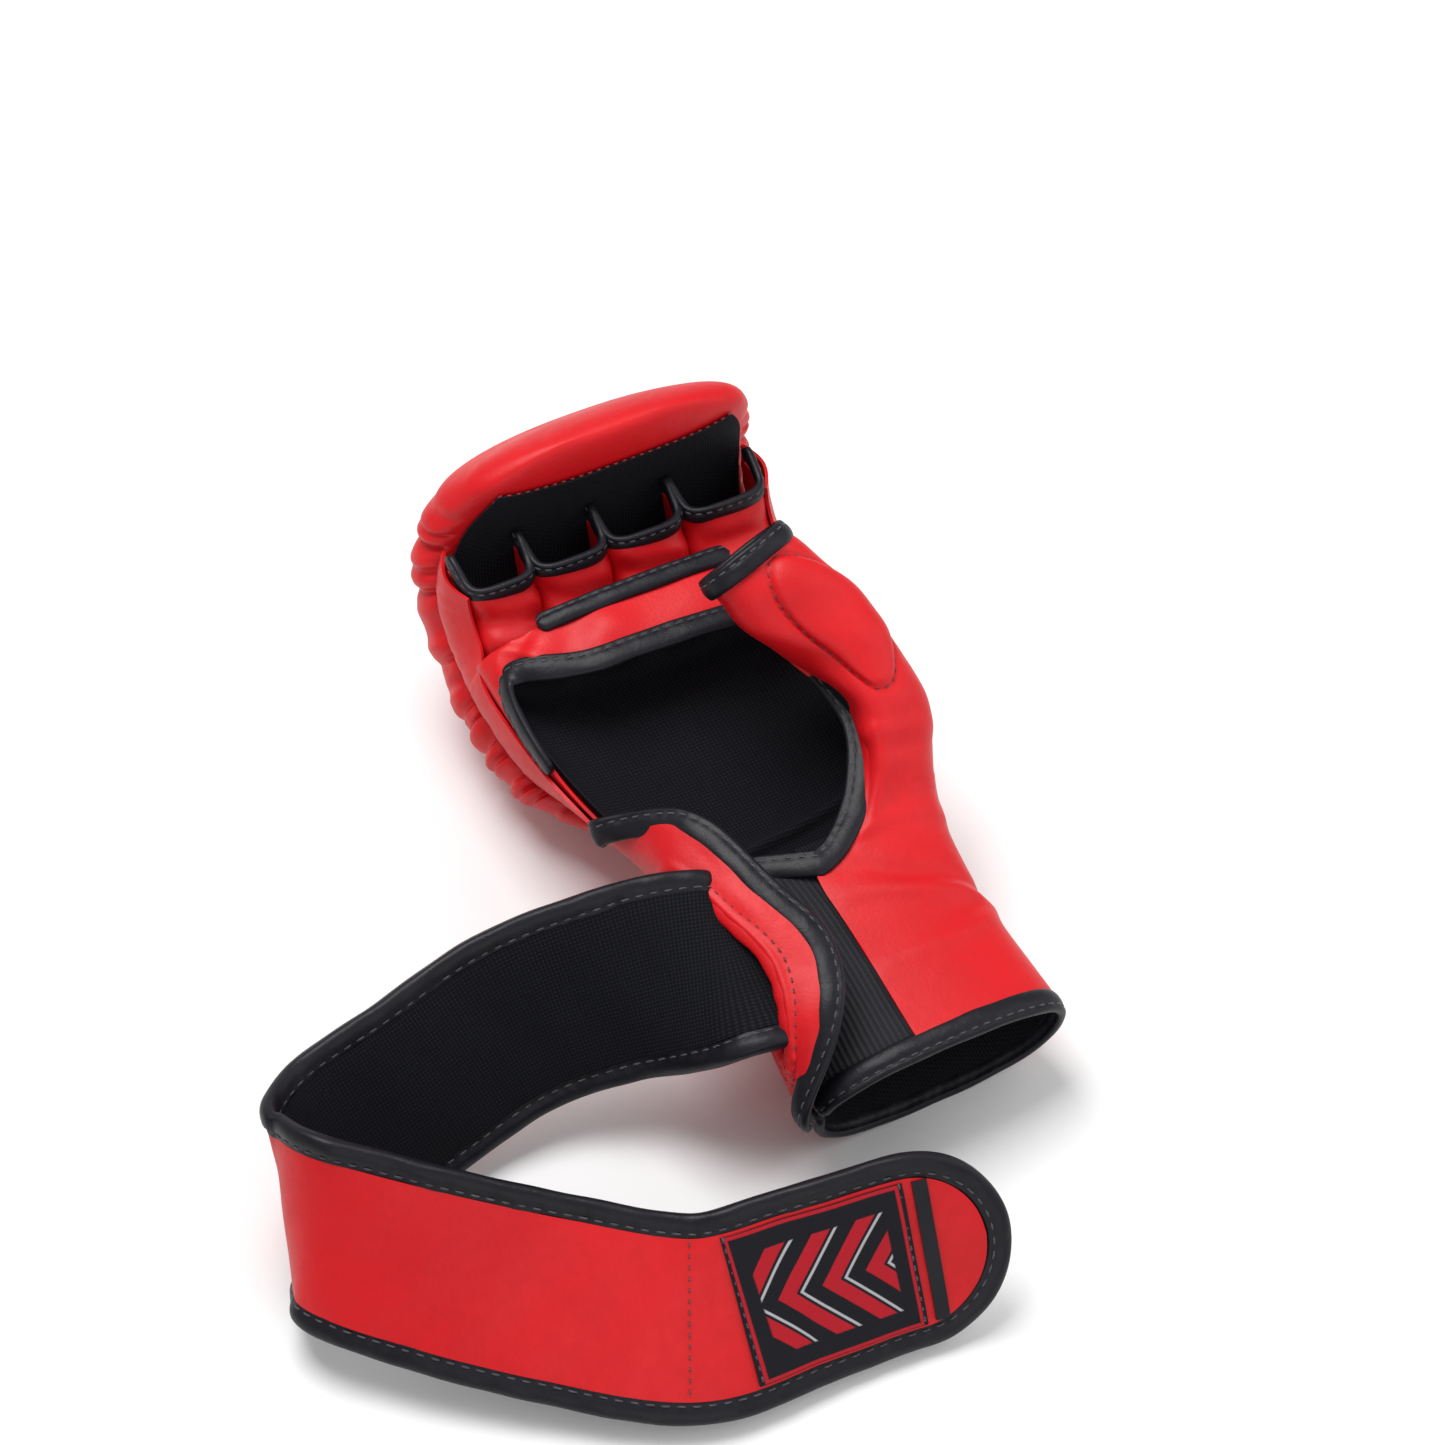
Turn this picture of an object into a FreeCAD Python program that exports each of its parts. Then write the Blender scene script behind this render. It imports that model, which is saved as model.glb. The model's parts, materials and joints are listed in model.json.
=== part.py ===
"""A padded mixed-martial-arts training glove for the right hand, lying on its back with the palm up.

The glove is a sewn assembly: a curled knuckle pad of leather over foam, four finger stalls, an open palm,
a thumb stall, a padded wrist cuff with a slotted closing flap, and a long strap that runs out of the slot.

Hand frame, in which the glove is drawn: X towards the thumb, Y towards the fingertips, D out of the palm.
Row frame, in which it is written: the hand frame tilted by the lie angle, so that the pad and the cuff both
touch the table, +Z up, origin at the centre of the underside of the whole object's box.
"""

import FreeCAD
import Part
import math
import os

V = FreeCAD.Vector

# ---------------------------------------------------------------- driving dimensions, in millimetres

# overall glove
LIE_ANGLE = 11.0             # the forearm line rises this much towards the fingers when the glove lies down
CUFF_LENGTH = 117.0          # from the hem to where the knuckle pad starts
HAND_LENGTH = 78.0           # from the start of the pad to the knuckles
HAND_HALF_WIDTH = 63.0       # across the knuckles
PALM_HALF_WIDTH = 59.0
WRIST_HALF_WIDTH = 43.0
CUFF_HALF_WIDTH = 46.0
HAND_OFFSET = -12.0          # the knuckles sit towards the little finger from the middle of the wrist
HAND_DEPTH_BACK = 16.0       # from the middle of the hand to its back at the knuckles
HAND_DEPTH_PALM = 15.0
WRIST_DEPTH_BACK = 19.0
WRIST_DEPTH_PALM = 16.5
CUFF_DEPTH_BACK = 26.0
CUFF_DEPTH_PALM = 21.0

# materials
SKIN = 1.2                   # synthetic leather
LINER = 0.8                  # knitted lining
CUFF_FOAM = 2.6              # foam sheet in the wrist panels
PLY_GAP = 0.25               # free space between plies, so that curved faces never share volume
TAPE = 4.4                   # side of the folded binding tape's section

# knuckle pad
PAD_THICKNESS = 48.0         # at the knuckles
PAD_HALF_WIDTH = 68.0
PAD_BEND_RADIUS = 40.0       # of the face that the bent fingers lie on
PAD_TIP_LENGTH = 29.0        # straight stretch in front of the fingertips
PAD_TIP_THICKNESS = 12.0
PAD_START_THICKNESS = 5.0
KNUCKLE_NOTCH = 14.0         # degrees between the two foam blocks, which closes as the hand opens

# finger stalls
STALL_PITCH = 30.5
STALL_HALF_WIDTH = 14.2
STALL_HALF_DEPTH = 10.0
STALL_WALL = 1.2

# thumb stall
THUMB_LENGTH = 92.0
THUMB_TIP_HALF_WIDTH = 15.5
THUMB_ROOT_HALF_WIDTH = 19.0
THUMB_HALF_DEPTH = 14.0
THUMB_SWAY = 5.0             # how far the stall's middle bows away from the fingers
THUMB_PAD_LENGTH = 62.0
THUMB_PAD_WIDTH = 27.0
THUMB_PAD_THICKNESS = 4.0

# strap
STRAP_WIDTH = 67.0
STRAP_CORE = 2.0
STRAP_TIP_RADIUS = 33.0
HOOK_LENGTH = 92.0
LABEL_LENGTH = 62.0
LABEL_THICKNESS = 0.7
LOOP_LENGTH = 96.0
PATCH_THICKNESS = 1.2
BEND_GAP = 3.0               # free length of strap at its hinge line
STRAP_START = 4.5            # from the middle of the slot to where the strap's plies begin

# closing flap and its slot
FLAP_HEIGHT = 33.0           # how far its free edge stands above its sewn base
FLAP_BOW = 0.36              # how far it bulges outwards, over its height
SLOT_LENGTH = STRAP_WIDTH + 5.0      # the strap passes through it
SLOT_WIDTH = 11.0

# ---------------------------------------------------------------- places that follow from them

PAD_START = CUFF_LENGTH + 4.0
KNUCKLE_Y = PAD_START + HAND_LENGTH
HINGE = V(0, KNUCKLE_Y, -HAND_DEPTH_BACK + 2.0)
INNER_D = -HAND_DEPTH_BACK - LINER - 2 * PLY_GAP


def smooth(x, knots):
    """Value at x of a curve through (x, value) knots: cubic pieces, slopes from the neighbours."""
    if x <= knots[0][0]:
        return knots[0][1]
    if x >= knots[-1][0]:
        return knots[-1][1]
    slopes = []
    for i in range(len(knots)):
        a = knots[max(i - 1, 0)]
        b = knots[min(i + 1, len(knots) - 1)]
        slopes.append((b[1] - a[1]) / (b[0] - a[0]))
    for i in range(len(knots) - 1):
        (x0, y0), (x1, y1) = knots[i], knots[i + 1]
        if x <= x1:
            h = x1 - x0
            t = (x - x0) / h
            m0, m1 = slopes[i] * h, slopes[i + 1] * h
            return (
                y0 * (2 * t**3 - 3 * t**2 + 1)
                + m0 * (t**3 - 2 * t**2 + t)
                + y1 * (-2 * t**3 + 3 * t**2)
                + m1 * (t**3 - t**2)
            )


def spread(low, high, count):
    """count evenly spaced values from low to high."""
    return [low + (high - low) * i / (count - 1) for i in range(count)]


def loft(wires, ruled=True):
    """Closed solid through a row of closed wires, facing outwards."""
    solid = Part.makeLoft(wires, True, ruled)
    if solid.Volume < 0:
        solid.reverse()
    return solid


def closed_spline(points):
    curve = Part.BSplineCurve()
    curve.interpolate(points, PeriodicFlag=True)
    return Part.Wire([curve.toShape()])


def open_spline(points):
    curve = Part.BSplineCurve()
    curve.interpolate(points)
    return curve.toShape()


def power(value, exponent):
    """Signed power, for superellipses."""
    return math.copysign(abs(value) ** exponent, value)


# ---------------------------------------------------------------- the hand's tube

WRIST_Y = 60.0
PALM_Y = CUFF_LENGTH + 33.0


def tube(y):
    """Centre, half width, back depth and palm depth of the hand's cross-section at y."""
    centre = smooth(y, [(0, 2), (WRIST_Y, 0), (PALM_Y, 0.75 * HAND_OFFSET), (KNUCKLE_Y, HAND_OFFSET)])
    half = smooth(y, [(0, CUFF_HALF_WIDTH), (WRIST_Y, WRIST_HALF_WIDTH), (PALM_Y, PALM_HALF_WIDTH),
                      (KNUCKLE_Y, HAND_HALF_WIDTH)])
    back = smooth(y, [(0, CUFF_DEPTH_BACK), (WRIST_Y, WRIST_DEPTH_BACK), (PALM_Y, HAND_DEPTH_BACK - 1.5),
                      (KNUCKLE_Y, HAND_DEPTH_BACK)])
    palm = smooth(y, [(0, CUFF_DEPTH_PALM), (WRIST_Y, WRIST_DEPTH_PALM), (PALM_Y, HAND_DEPTH_PALM - 1),
                      (KNUCKLE_Y, HAND_DEPTH_PALM)])
    return centre, half, back, palm


def on_tube(y, angle, offset):
    """Point of the tube at y and angle (0 thumb, 90 palm, 180 little finger, 270 back), offset outwards."""
    centre, half, back, palm = tube(y)
    c, s = math.cos(math.radians(angle)), math.sin(math.radians(angle))
    depth = palm if s > 0 else back
    x = centre + (half + offset) * power(c, 0.8)
    return V(x, y, (depth + offset) * power(s, 0.8))


def tube_panel(ys, start, end, inner, outer, count=13):
    """Sheet on the tube between two offsets. start and end are angles, or functions of y that give them."""
    wires = []
    for y in ys:
        a0 = start(y) if callable(start) else start
        a1 = end(y) if callable(end) else end
        angles = spread(a0, a1, count)
        near = [on_tube(y, a, inner) for a in angles]
        far = [on_tube(y, a, outer) for a in angles]
        wires.append(Part.Wire([
            open_spline(far),
            Part.makeLine(far[-1], near[-1]),
            open_spline(near[::-1]),
            Part.makeLine(near[0], far[0]),
        ]))
    return loft(wires)


def bar(points, normals, width, height):
    """Bar of rectangular section along points. normals point along its height."""
    wires = []
    for i, p in enumerate(points):
        ahead = points[min(i + 1, len(points) - 1)] - points[max(i - 1, 0)]
        ahead.normalize()
        up = normals[i] - ahead * normals[i].dot(ahead)
        up.normalize()
        side = ahead.cross(up)
        corners = [p + side * (sx * width / 2) + up * (sy * height / 2)
                   for sx, sy in ((-1, -1), (1, -1), (1, 1), (-1, 1))]
        wires.append(Part.makePolygon(corners + corners[:1]))
    return loft(wires)


def out_of(angle):
    return V(math.cos(math.radians(angle)), 0, math.sin(math.radians(angle)))


# ---------------------------------------------------------------- knuckle pad

PAD_LENGTH = HAND_LENGTH + math.radians(90) * PAD_BEND_RADIUS + PAD_TIP_LENGTH
BEND_END = HAND_LENGTH + math.radians(90) * PAD_BEND_RADIUS


def pad_line(s):
    """Point (y, d) of the pad's inner face at distance s from its start, and its outward normal."""
    if s <= HAND_LENGTH:
        return (PAD_START + s, INNER_D), (0.0, -1.0)
    turn = min((s - HAND_LENGTH) / PAD_BEND_RADIUS, math.radians(90))
    normal = (math.sin(turn), -math.cos(turn))
    y = KNUCKLE_Y + PAD_BEND_RADIUS * normal[0]
    d = INNER_D + PAD_BEND_RADIUS + PAD_BEND_RADIUS * normal[1]
    return (y, d + max(s - BEND_END, 0.0)), normal


def pad_thickness(s):
    return smooth(s, [
        (0, PAD_START_THICKNESS),
        (0.22 * HAND_LENGTH, 0.38 * PAD_THICKNESS),
        (0.55 * HAND_LENGTH, 0.74 * PAD_THICKNESS),
        (HAND_LENGTH, 0.96 * PAD_THICKNESS),
        (HAND_LENGTH + 0.6 * PAD_BEND_RADIUS, PAD_THICKNESS),
        (BEND_END, 0.72 * PAD_THICKNESS),
        (0.5 * (BEND_END + PAD_LENGTH), 0.5 * PAD_THICKNESS),
        (PAD_LENGTH, PAD_TIP_THICKNESS),
    ])


def pad_half_width(s):
    return smooth(s, [
        (0, 0.54 * PAD_HALF_WIDTH),
        (0.22 * HAND_LENGTH, 0.72 * PAD_HALF_WIDTH),
        (0.6 * HAND_LENGTH, 0.95 * PAD_HALF_WIDTH),
        (HAND_LENGTH + 0.5 * PAD_BEND_RADIUS, PAD_HALF_WIDTH),
        (BEND_END, 0.95 * PAD_HALF_WIDTH),
        (PAD_LENGTH - 8, 0.88 * PAD_HALF_WIDTH),
        (PAD_LENGTH, 0.80 * PAD_HALF_WIDTH),
    ])


def pad_section(s, inset):
    """Closed superellipse across the pad at s, inset from its surface all round."""
    (y, d), (ny, nd) = pad_line(s)
    thick, half = pad_thickness(s), pad_half_width(s)
    middle = 0.42 * thick
    points = []
    for k in range(24):
        c, q = math.cos(2 * math.pi * k / 24), math.sin(2 * math.pi * k / 24)
        room = (thick - middle if q > 0 else middle) - inset
        x = HAND_OFFSET + (half - inset) * power(c, 0.86 if q > 0 else 0.70)
        h = middle + room * power(q, 0.92 if q > 0 else 0.75)
        points.append(V(x, y + ny * h, d + nd * h))
    return closed_spline(points)


def pad_block(inset, end_inset):
    """The whole pad, inset all round and shortened at both ends."""
    first = [end_inset + d for d in (0, 6, 15, 28, 42, 58)]
    rest = spread(HAND_LENGTH, BEND_END, 10)
    last = [BEND_END + 0.5 * PAD_TIP_LENGTH, PAD_LENGTH - 4 - end_inset, PAD_LENGTH - end_inset]
    return loft([pad_section(s, inset) for s in first + rest + last])


def knuckle_wedge(side):
    """Space on one side of the notch: side -1 is the back of the hand, +1 the fingers."""
    reach = 400.0
    half = math.radians(KNUCKLE_NOTCH / 2) * side
    down = V(0, math.sin(half), -math.cos(half))
    foot = V(-reach / 2, HINGE.y, HINGE.z)
    corners = [foot, foot + down * reach, foot + down * reach + V(0, side * reach, 0),
               foot + V(0, side * reach, reach), foot + V(0, 0, reach)]
    face = Part.Face(Part.makePolygon(corners + corners[:1]))
    return face.extrude(V(reach, 0, 0))


def make_pad():
    skin = pad_block(0.0, 0.0).cut(pad_block(SKIN, SKIN))
    foam = pad_block(SKIN + PLY_GAP, SKIN + PLY_GAP)
    back, fingers = knuckle_wedge(-1), knuckle_wedge(1)
    return {
        "pad_skin_back": skin.common(back),
        "pad_foam_back": foam.common(back),
        "pad_skin_fingers": skin.common(fingers),
        "pad_foam_fingers": foam.common(fingers),
    }


def lining_sheet(s0, s1, left, right):
    """Knitted lining on the pad's inner face, from distance s0 to s1 along it."""
    near, far = [], []
    for s in spread(s0, s1, 12):
        (y, d), (ny, nd) = pad_line(s)
        near.append(V(left, y - ny * PLY_GAP, d - nd * PLY_GAP))
        lift = PLY_GAP + LINER
        far.append(V(left, y - ny * lift, d - nd * lift))
    outline = Part.makePolygon(near + far[::-1] + near[:1])
    return Part.Face(outline).extrude(V(right - left, 0, 0))


def make_linings():
    left = HAND_OFFSET - 0.84 * PAD_HALF_WIDTH
    right = HAND_OFFSET + 0.84 * PAD_HALF_WIDTH
    return {
        "hand_lining": lining_sheet(3.0, HAND_LENGTH - 4.0, left + 12, right - 12),
        "finger_lining": lining_sheet(HAND_LENGTH + 6.0, BEND_END - 1.0, left, right),
        "tip_lining": lining_sheet(BEND_END, PAD_LENGTH - 2.0, left, right),
    }


# ---------------------------------------------------------------- finger stalls

STALL_NAMES = ("little", "ring", "middle", "index")
STALL_MIDDLE = HAND_OFFSET - 3.5
# stations along a stall: distance along the pad's bend, in degrees, and clearance under the stall's wall
STALL_STATIONS = ((16.0, 1.6), (36.0, 1.6), (56.0, 1.6), (74.0, 1.8))


def stall_centre(turn, clearance, half_depth):
    t = math.radians(turn)
    r = PAD_BEND_RADIUS - LINER - clearance - half_depth
    return V(0, KNUCKLE_Y + r * math.sin(t), INNER_D + PAD_BEND_RADIUS - r * math.cos(t))


def oval(centre, side, depth, half_width, half_depth):
    """Closed outline of short straight sides, rounder than a rectangle and fuller than an ellipse."""
    points = []
    for k in range(20):
        a = 2 * math.pi * k / 20
        points.append(centre + side * (half_width * power(math.cos(a), 0.85))
                      + depth * (half_depth * power(math.sin(a), 0.85)))
    return Part.makePolygon(points + points[:1])


def stall_wire(x, station, grow):
    turn, clearance = station
    t = math.radians(turn)
    centre = stall_centre(turn, clearance, STALL_HALF_DEPTH) + V(x, 0, 0)
    inward = V(0, -math.sin(t), math.cos(t))
    return oval(centre, V(1, 0, 0), inward, STALL_HALF_WIDTH + grow, STALL_HALF_DEPTH + grow)


def between(a, b, share):
    return tuple(p + (q - p) * share for p, q in zip(a, b))


def make_stalls():
    made = {}
    for k, name in enumerate(STALL_NAMES):
        x = STALL_MIDDLE + STALL_PITCH * (k - 1.5)
        body = STALL_STATIONS[:3]
        outer = loft([stall_wire(x, s, 0.0) for s in body])
        inner = loft([stall_wire(x, s, -STALL_WALL) for s in body])
        made[name + "_stall"] = outer.cut(inner)
        low = between(STALL_STATIONS[2], STALL_STATIONS[3], 0.05)
        rim = [low, STALL_STATIONS[3]]
        ring = loft([stall_wire(x, s, 0.5) for s in rim])
        hole = loft([stall_wire(x, s, -STALL_WALL - 0.5) for s in rim])
        made[name + "_stall_binding"] = ring.cut(hole)
    return made


def side_plate(x):
    """Flat leather wall beside the outer stalls, from the pad's seam up to the palm side."""
    reach = PAD_BEND_RADIUS - LINER - 2 * PLY_GAP
    depth = 2 * STALL_HALF_DEPTH
    rim = [(t, reach) for t in (12, 28, 44, 60, 74)] + [(t, reach - depth) for t in (74, 52, 32, 12)]
    points = [V(x, KNUCKLE_Y + r * math.sin(math.radians(t)),
                INNER_D + PAD_BEND_RADIUS - r * math.cos(math.radians(t))) for t, r in rim]
    return Part.Face(Part.makePolygon(points + points[:1])).extrude(V(SKIN, 0, 0))


def make_side_panels():
    outer = STALL_HALF_WIDTH + 1.0
    low = STALL_MIDDLE - 1.5 * STALL_PITCH - outer - SKIN
    high = STALL_MIDDLE + 1.5 * STALL_PITCH + outer
    return {"little_side_panel": side_plate(low), "index_side_panel": side_plate(high)}


# ---------------------------------------------------------------- wrist, palm and their bindings

GUSSET_ANGLE = 97.0          # where the thumb side panel ends and the elastic strap root starts
THUMB_Y = CUFF_LENGTH - 18.0
PALM_BAND_LOW = KNUCKLE_Y - 26.0
PALM_BAND_HIGH = KNUCKLE_Y + 1.0
THUMB_GUSSET_END = THUMB_Y - 13.0    # where the thumb side panel hands over to the thumb stall
OVER_PANEL = SKIN + TAPE / 2         # how far the tape stands off the tube on the thumb side panel
# places (y, angle, lift) of the tape down the thumb side of the open palm
PALM_SIDE_ROUTE = (
    (PALM_BAND_LOW - 13, 62, 0), (PALM_BAND_LOW - 23, 62, 0), (PALM_BAND_LOW - 39, 66, 0),
    (THUMB_Y + 19, 70, 0.5),
    (THUMB_Y + 5, 76, 1), (THUMB_Y - 6, 84, OVER_PANEL), (THUMB_Y - 15, 92, OVER_PANEL),
    (THUMB_Y - 21, 102, OVER_PANEL), (THUMB_Y - 24, 114, OVER_PANEL),
)


def make_wrist():
    ys = spread(0, CUFF_LENGTH, 6)
    side_ys = spread(0, THUMB_GUSSET_END, 5)
    foam_in, foam_out = -PLY_GAP - CUFF_FOAM, -PLY_GAP
    liner_out = foam_in - PLY_GAP
    made = {
        "wrist_back_panel": tube_panel(ys, 185, 355, 0, SKIN),
        "wrist_back_foam": tube_panel(ys, 187, 353, foam_in, foam_out),
        "wrist_back_lining": tube_panel(ys, 187, 353, liner_out - LINER, liner_out),
        "thumb_side_panel": tube_panel(side_ys, -4, GUSSET_ANGLE, 0, SKIN),
        "thumb_side_lining": tube_panel(side_ys, -2, GUSSET_ANGLE - 2, -PLY_GAP - LINER, -PLY_GAP),
        "strap_root": tube_panel((9.0, 70.0), GUSSET_ANGLE + 1, 132, -2.2, -0.4, 9),
    }
    hem = spread(186, 456, 28)
    points = [on_tube(0, a, -1.2) + V(0, -TAPE / 2 - PLY_GAP, 0) for a in hem]
    made["cuff_hem_binding"] = bar(points, [out_of(a) for a in hem], TAPE, TAPE + 1.5)
    return made


def make_palm():
    """Leather band across the finger roots, the hand's side walls, and the tape round the open palm."""
    band_ys = spread(PALM_BAND_LOW, PALM_BAND_HIGH, 4)
    wall_ys = spread(CUFF_LENGTH + 4.5, KNUCKLE_Y - 3, 6)
    made = {
        "palm_band": tube_panel(band_ys, 26, 176, 0, SKIN),
        "little_edge_wall": tube_panel(wall_ys, 178, 226, 0, SKIN, 7),
        "thumb_edge_wall": tube_panel(wall_ys, -46, -12, 0, SKIN, 7),
    }
    grip_angles, top_angles = spread(66, 140, 12), spread(172, 60, 14)
    grip = [on_tube(PALM_BAND_HIGH, a, SKIN / 2) + V(0, TAPE / 2 + PLY_GAP, 0) for a in grip_angles]
    made["grip_binding"] = bar(grip, [out_of(a) for a in grip_angles], TAPE, TAPE - 1)
    top = [on_tube(PALM_BAND_LOW, a, SKIN / 2) + V(0, -TAPE / 2 - PLY_GAP, 0) for a in top_angles]
    made["palm_opening_binding"] = bar(top, [out_of(a) for a in top_angles], TAPE, TAPE - 1)
    side = [on_tube(y, a, lift) for y, a, lift in PALM_SIDE_ROUTE]
    made["palm_side_binding"] = bar(side, [V(0, 0, 1)] * len(side), TAPE, TAPE - 1)
    return made


# ---------------------------------------------------------------- thumb stall

THUMB_ROOT = V(tube(THUMB_Y)[0] + tube(THUMB_Y)[1] + THUMB_ROOT_HALF_WIDTH - 23.4, THUMB_Y, THUMB_HALF_DEPTH)
THUMB_AIM = V(-0.30, 0.86, 0.42)


def thumb_frame():
    """Unit vectors of the thumb: along it, across it, and out of its palm side."""
    along = V(THUMB_AIM)
    along.normalize()
    across = V(1, 0, 0) - along * along.x
    across.normalize()
    return along, across, across.cross(along)


def thumb_section(share, grow):
    along, across, out = thumb_frame()
    half = smooth(share, [(0, THUMB_ROOT_HALF_WIDTH), (0.35, 1.02 * THUMB_ROOT_HALF_WIDTH),
                          (0.75, 1.05 * THUMB_ROOT_HALF_WIDTH), (1, THUMB_TIP_HALF_WIDTH)])
    depth = THUMB_HALF_DEPTH * (1 - 0.25 * share)
    sway = across * (THUMB_SWAY * 4 * share * (1 - share))
    centre = THUMB_ROOT + along * (THUMB_LENGTH * share) + sway
    return oval(centre, across, out, half + grow, depth + grow)


def thumb_half(side):
    """Space on the palm side (+1) or the back side (-1) of the thumb stall's seams."""
    along, across, out = thumb_frame()
    reach = 2 * THUMB_LENGTH
    foot = THUMB_ROOT + out * (side * PLY_GAP / 2)
    square = ((-1, -1), (1, -1), (1, 1), (-1, 1))
    corners = [foot + along * a * reach + across * b * reach for a, b in square]
    return Part.Face(Part.makePolygon(corners + corners[:1])).extrude(out * (side * reach))


def make_thumb():
    along, across, out = thumb_frame()
    rim = TAPE / THUMB_LENGTH
    shell_ends = [share * (1.0 - rim) for share in (0, 0.2, 0.4, 0.6, 0.8, 1)]
    outer = loft([thumb_section(s, 0) for s in shell_ends])
    inner = loft([thumb_section(s, -SKIN) for s in shell_ends])
    liner_out = -SKIN - PLY_GAP
    lining = loft([thumb_section(s, liner_out) for s in shell_ends]).cut(
        loft([thumb_section(s, liner_out - LINER) for s in shell_ends]))
    ends = (1.0 - rim + PLY_GAP / THUMB_LENGTH, 1.0)
    binding = loft([thumb_section(s, 0.8) for s in ends]).cut(
        loft([thumb_section(s, liner_out - LINER) for s in ends]))
    middle = THUMB_ROOT + along * (0.52 * THUMB_LENGTH) + across * (THUMB_SWAY + 6)
    base = out * (THUMB_HALF_DEPTH + PLY_GAP)
    half_l, half_w = THUMB_PAD_LENGTH / 2, THUMB_PAD_WIDTH / 2
    pad = loft([oval(middle + base, along, across, half_l, half_w),
                oval(middle + base + out * (0.6 * THUMB_PAD_THICKNESS), along, across,
                     half_l - 1, half_w - 1),
                oval(middle + base + out * THUMB_PAD_THICKNESS, along, across,
                     half_l - 5, half_w - 5)])
    shell = outer.cut(inner)
    return {
        "thumb_front_panel": shell.common(thumb_half(1)),
        "thumb_back_panel": shell.common(thumb_half(-1)),
        "thumb_lining": lining,
        "thumb_binding": binding,
        "thumb_pad": pad,
    }


# ---------------------------------------------------------------- closing flap

FLAP_LOW = -4.0
FLAP_HIGH = CUFF_LENGTH + 3.0
FLAP_STATIONS = spread(FLAP_LOW, FLAP_HIGH, 15)


def flap_base(y):
    return on_tube(y, 178, SKIN + 0.9)


def flap_edge(y):
    """Free edge of the flap: folded back at both ends, standing over the wrist in the middle."""
    reach = smooth(y, [(FLAP_LOW, -7), (15, 12), (40, 20), (66, 15), (CUFF_LENGTH - 14, 13),
                       (CUFF_LENGTH - 3, 3), (FLAP_HIGH, -8)])
    lift = smooth(y, [(FLAP_LOW, 0.42), (15, 0.94), (40, 1.0), (84, 0.94), (CUFF_LENGTH - 14, 0.82),
                      (FLAP_HIGH, 0.36)])
    base = flap_base(y)
    return V(base.x + reach, y, base.z + lift * FLAP_HEIGHT)


def flap_line(y, offset, count=11):
    """Points across the flap at y, from its sewn base to its free edge, bowed outwards."""
    base, edge = flap_base(y), flap_edge(y)
    chord = edge - base
    normal = V(-chord.z, 0, chord.x)
    normal.normalize()
    bow = chord.Length * smooth(y, [(FLAP_LOW, 0.16), (22, FLAP_BOW), (84, FLAP_BOW), (FLAP_HIGH, 0.12)])
    points = [base + chord * v + normal * (4 * bow * v * (1 - v)) for v in spread(0, 1, count)]
    moved = []
    for k, p in enumerate(points):
        ahead = points[min(k + 1, count - 1)] - points[max(k - 1, 0)]
        out = V(-ahead.z, 0, ahead.x)
        out.normalize()
        moved.append(p + out * offset)
    return moved


def flap_sheet(inner, outer):
    wires = []
    for y in FLAP_STATIONS:
        near, far = flap_line(y, inner), flap_line(y, outer)
        wires.append(Part.Wire([open_spline(far), Part.makeLine(far[-1], near[-1]),
                                open_spline(near[::-1]), Part.makeLine(near[0], far[0])]))
    return loft(wires)


SLOT_MIDDLE = SLOT_LENGTH / 2 + 13.0
SLOT_SHARE = 5               # where the slot lies among the eleven points across the flap


def slot_frame():
    """Middle of the slot and its unit vectors: along it, across it and outwards."""
    along = flap_line(SLOT_MIDDLE + 24, 0)[SLOT_SHARE] - flap_line(SLOT_MIDDLE - 24, 0)[SLOT_SHARE]
    along.normalize()
    line = flap_line(SLOT_MIDDLE, 0)
    across = line[SLOT_SHARE + 1] - line[SLOT_SHARE - 1]
    across = across - along * across.dot(along)
    across.normalize()
    return line[SLOT_SHARE], along, across, across.cross(along) * -1


def slot_block(grow, low, high):
    """Round-ended block that cuts the slot, or with grow makes the rolled lip round it."""
    middle, along, across, out = slot_frame()
    half = SLOT_LENGTH / 2 + grow
    return loft([oval(middle + out * d, along, across, half, SLOT_WIDTH / 2 + grow) for d in (low, high)])


def make_flap():
    points, ups = [], []
    for y in FLAP_STATIONS:
        line = flap_line(y, 0)
        chord = line[-1] - line[-2]
        chord.normalize()
        points.append(line[-1] + chord * (TAPE / 2 + 2 * PLY_GAP))
        ups.append(V(-chord.z, 0, chord.x))
    binding = bar(points, ups, TAPE, TAPE - 1)
    room = slot_block(1.7, -14, 14).fuse(bar(points, ups, TAPE + 4 * PLY_GAP, 3 * TAPE))
    skin = flap_sheet(0, SKIN).cut(room)
    lining = flap_sheet(-PLY_GAP - LINER, -PLY_GAP).cut(room)
    lip = slot_block(1.4, -2.2, 2.6).cut(slot_block(0, -4, 4))
    return {"flap_panel": skin, "flap_lining": lining, "flap_binding": binding, "slot_lip": lip}


# ---------------------------------------------------------------- strap

# Route of the strap's middle line on the table: x and y from the hand frame's origin, height of its
# lower edge above the table, and the direction from its upper to its lower edge, as a heading in the
# table's plane and a dip below it.
STRAP_ROUTE = (
    (-50, 42, 46, -80, 34),
    (-79, 57, 30, -80, 42),
    (-120, 68, 14, -80, 52),
    (-162, 63, 5, -88, 54),
    (-194, 57, 2, -102, 52),
    (-213, 44, 6, -107, 52),
    (-213, 24, 14, -113, 52),
    (-190, 0, 13, -118, 48),
    (-154, -28, 9, -120, 42),
    (-116, -53, 5, -120, 40),
    (-80, -59, 3, -118, 48),
    (-46, -63, 2, -115, 53),
    (-10, -70, 2, -113, 55),
)
BEND_STATION = 5             # index in the route of the strap's hinge line


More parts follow.
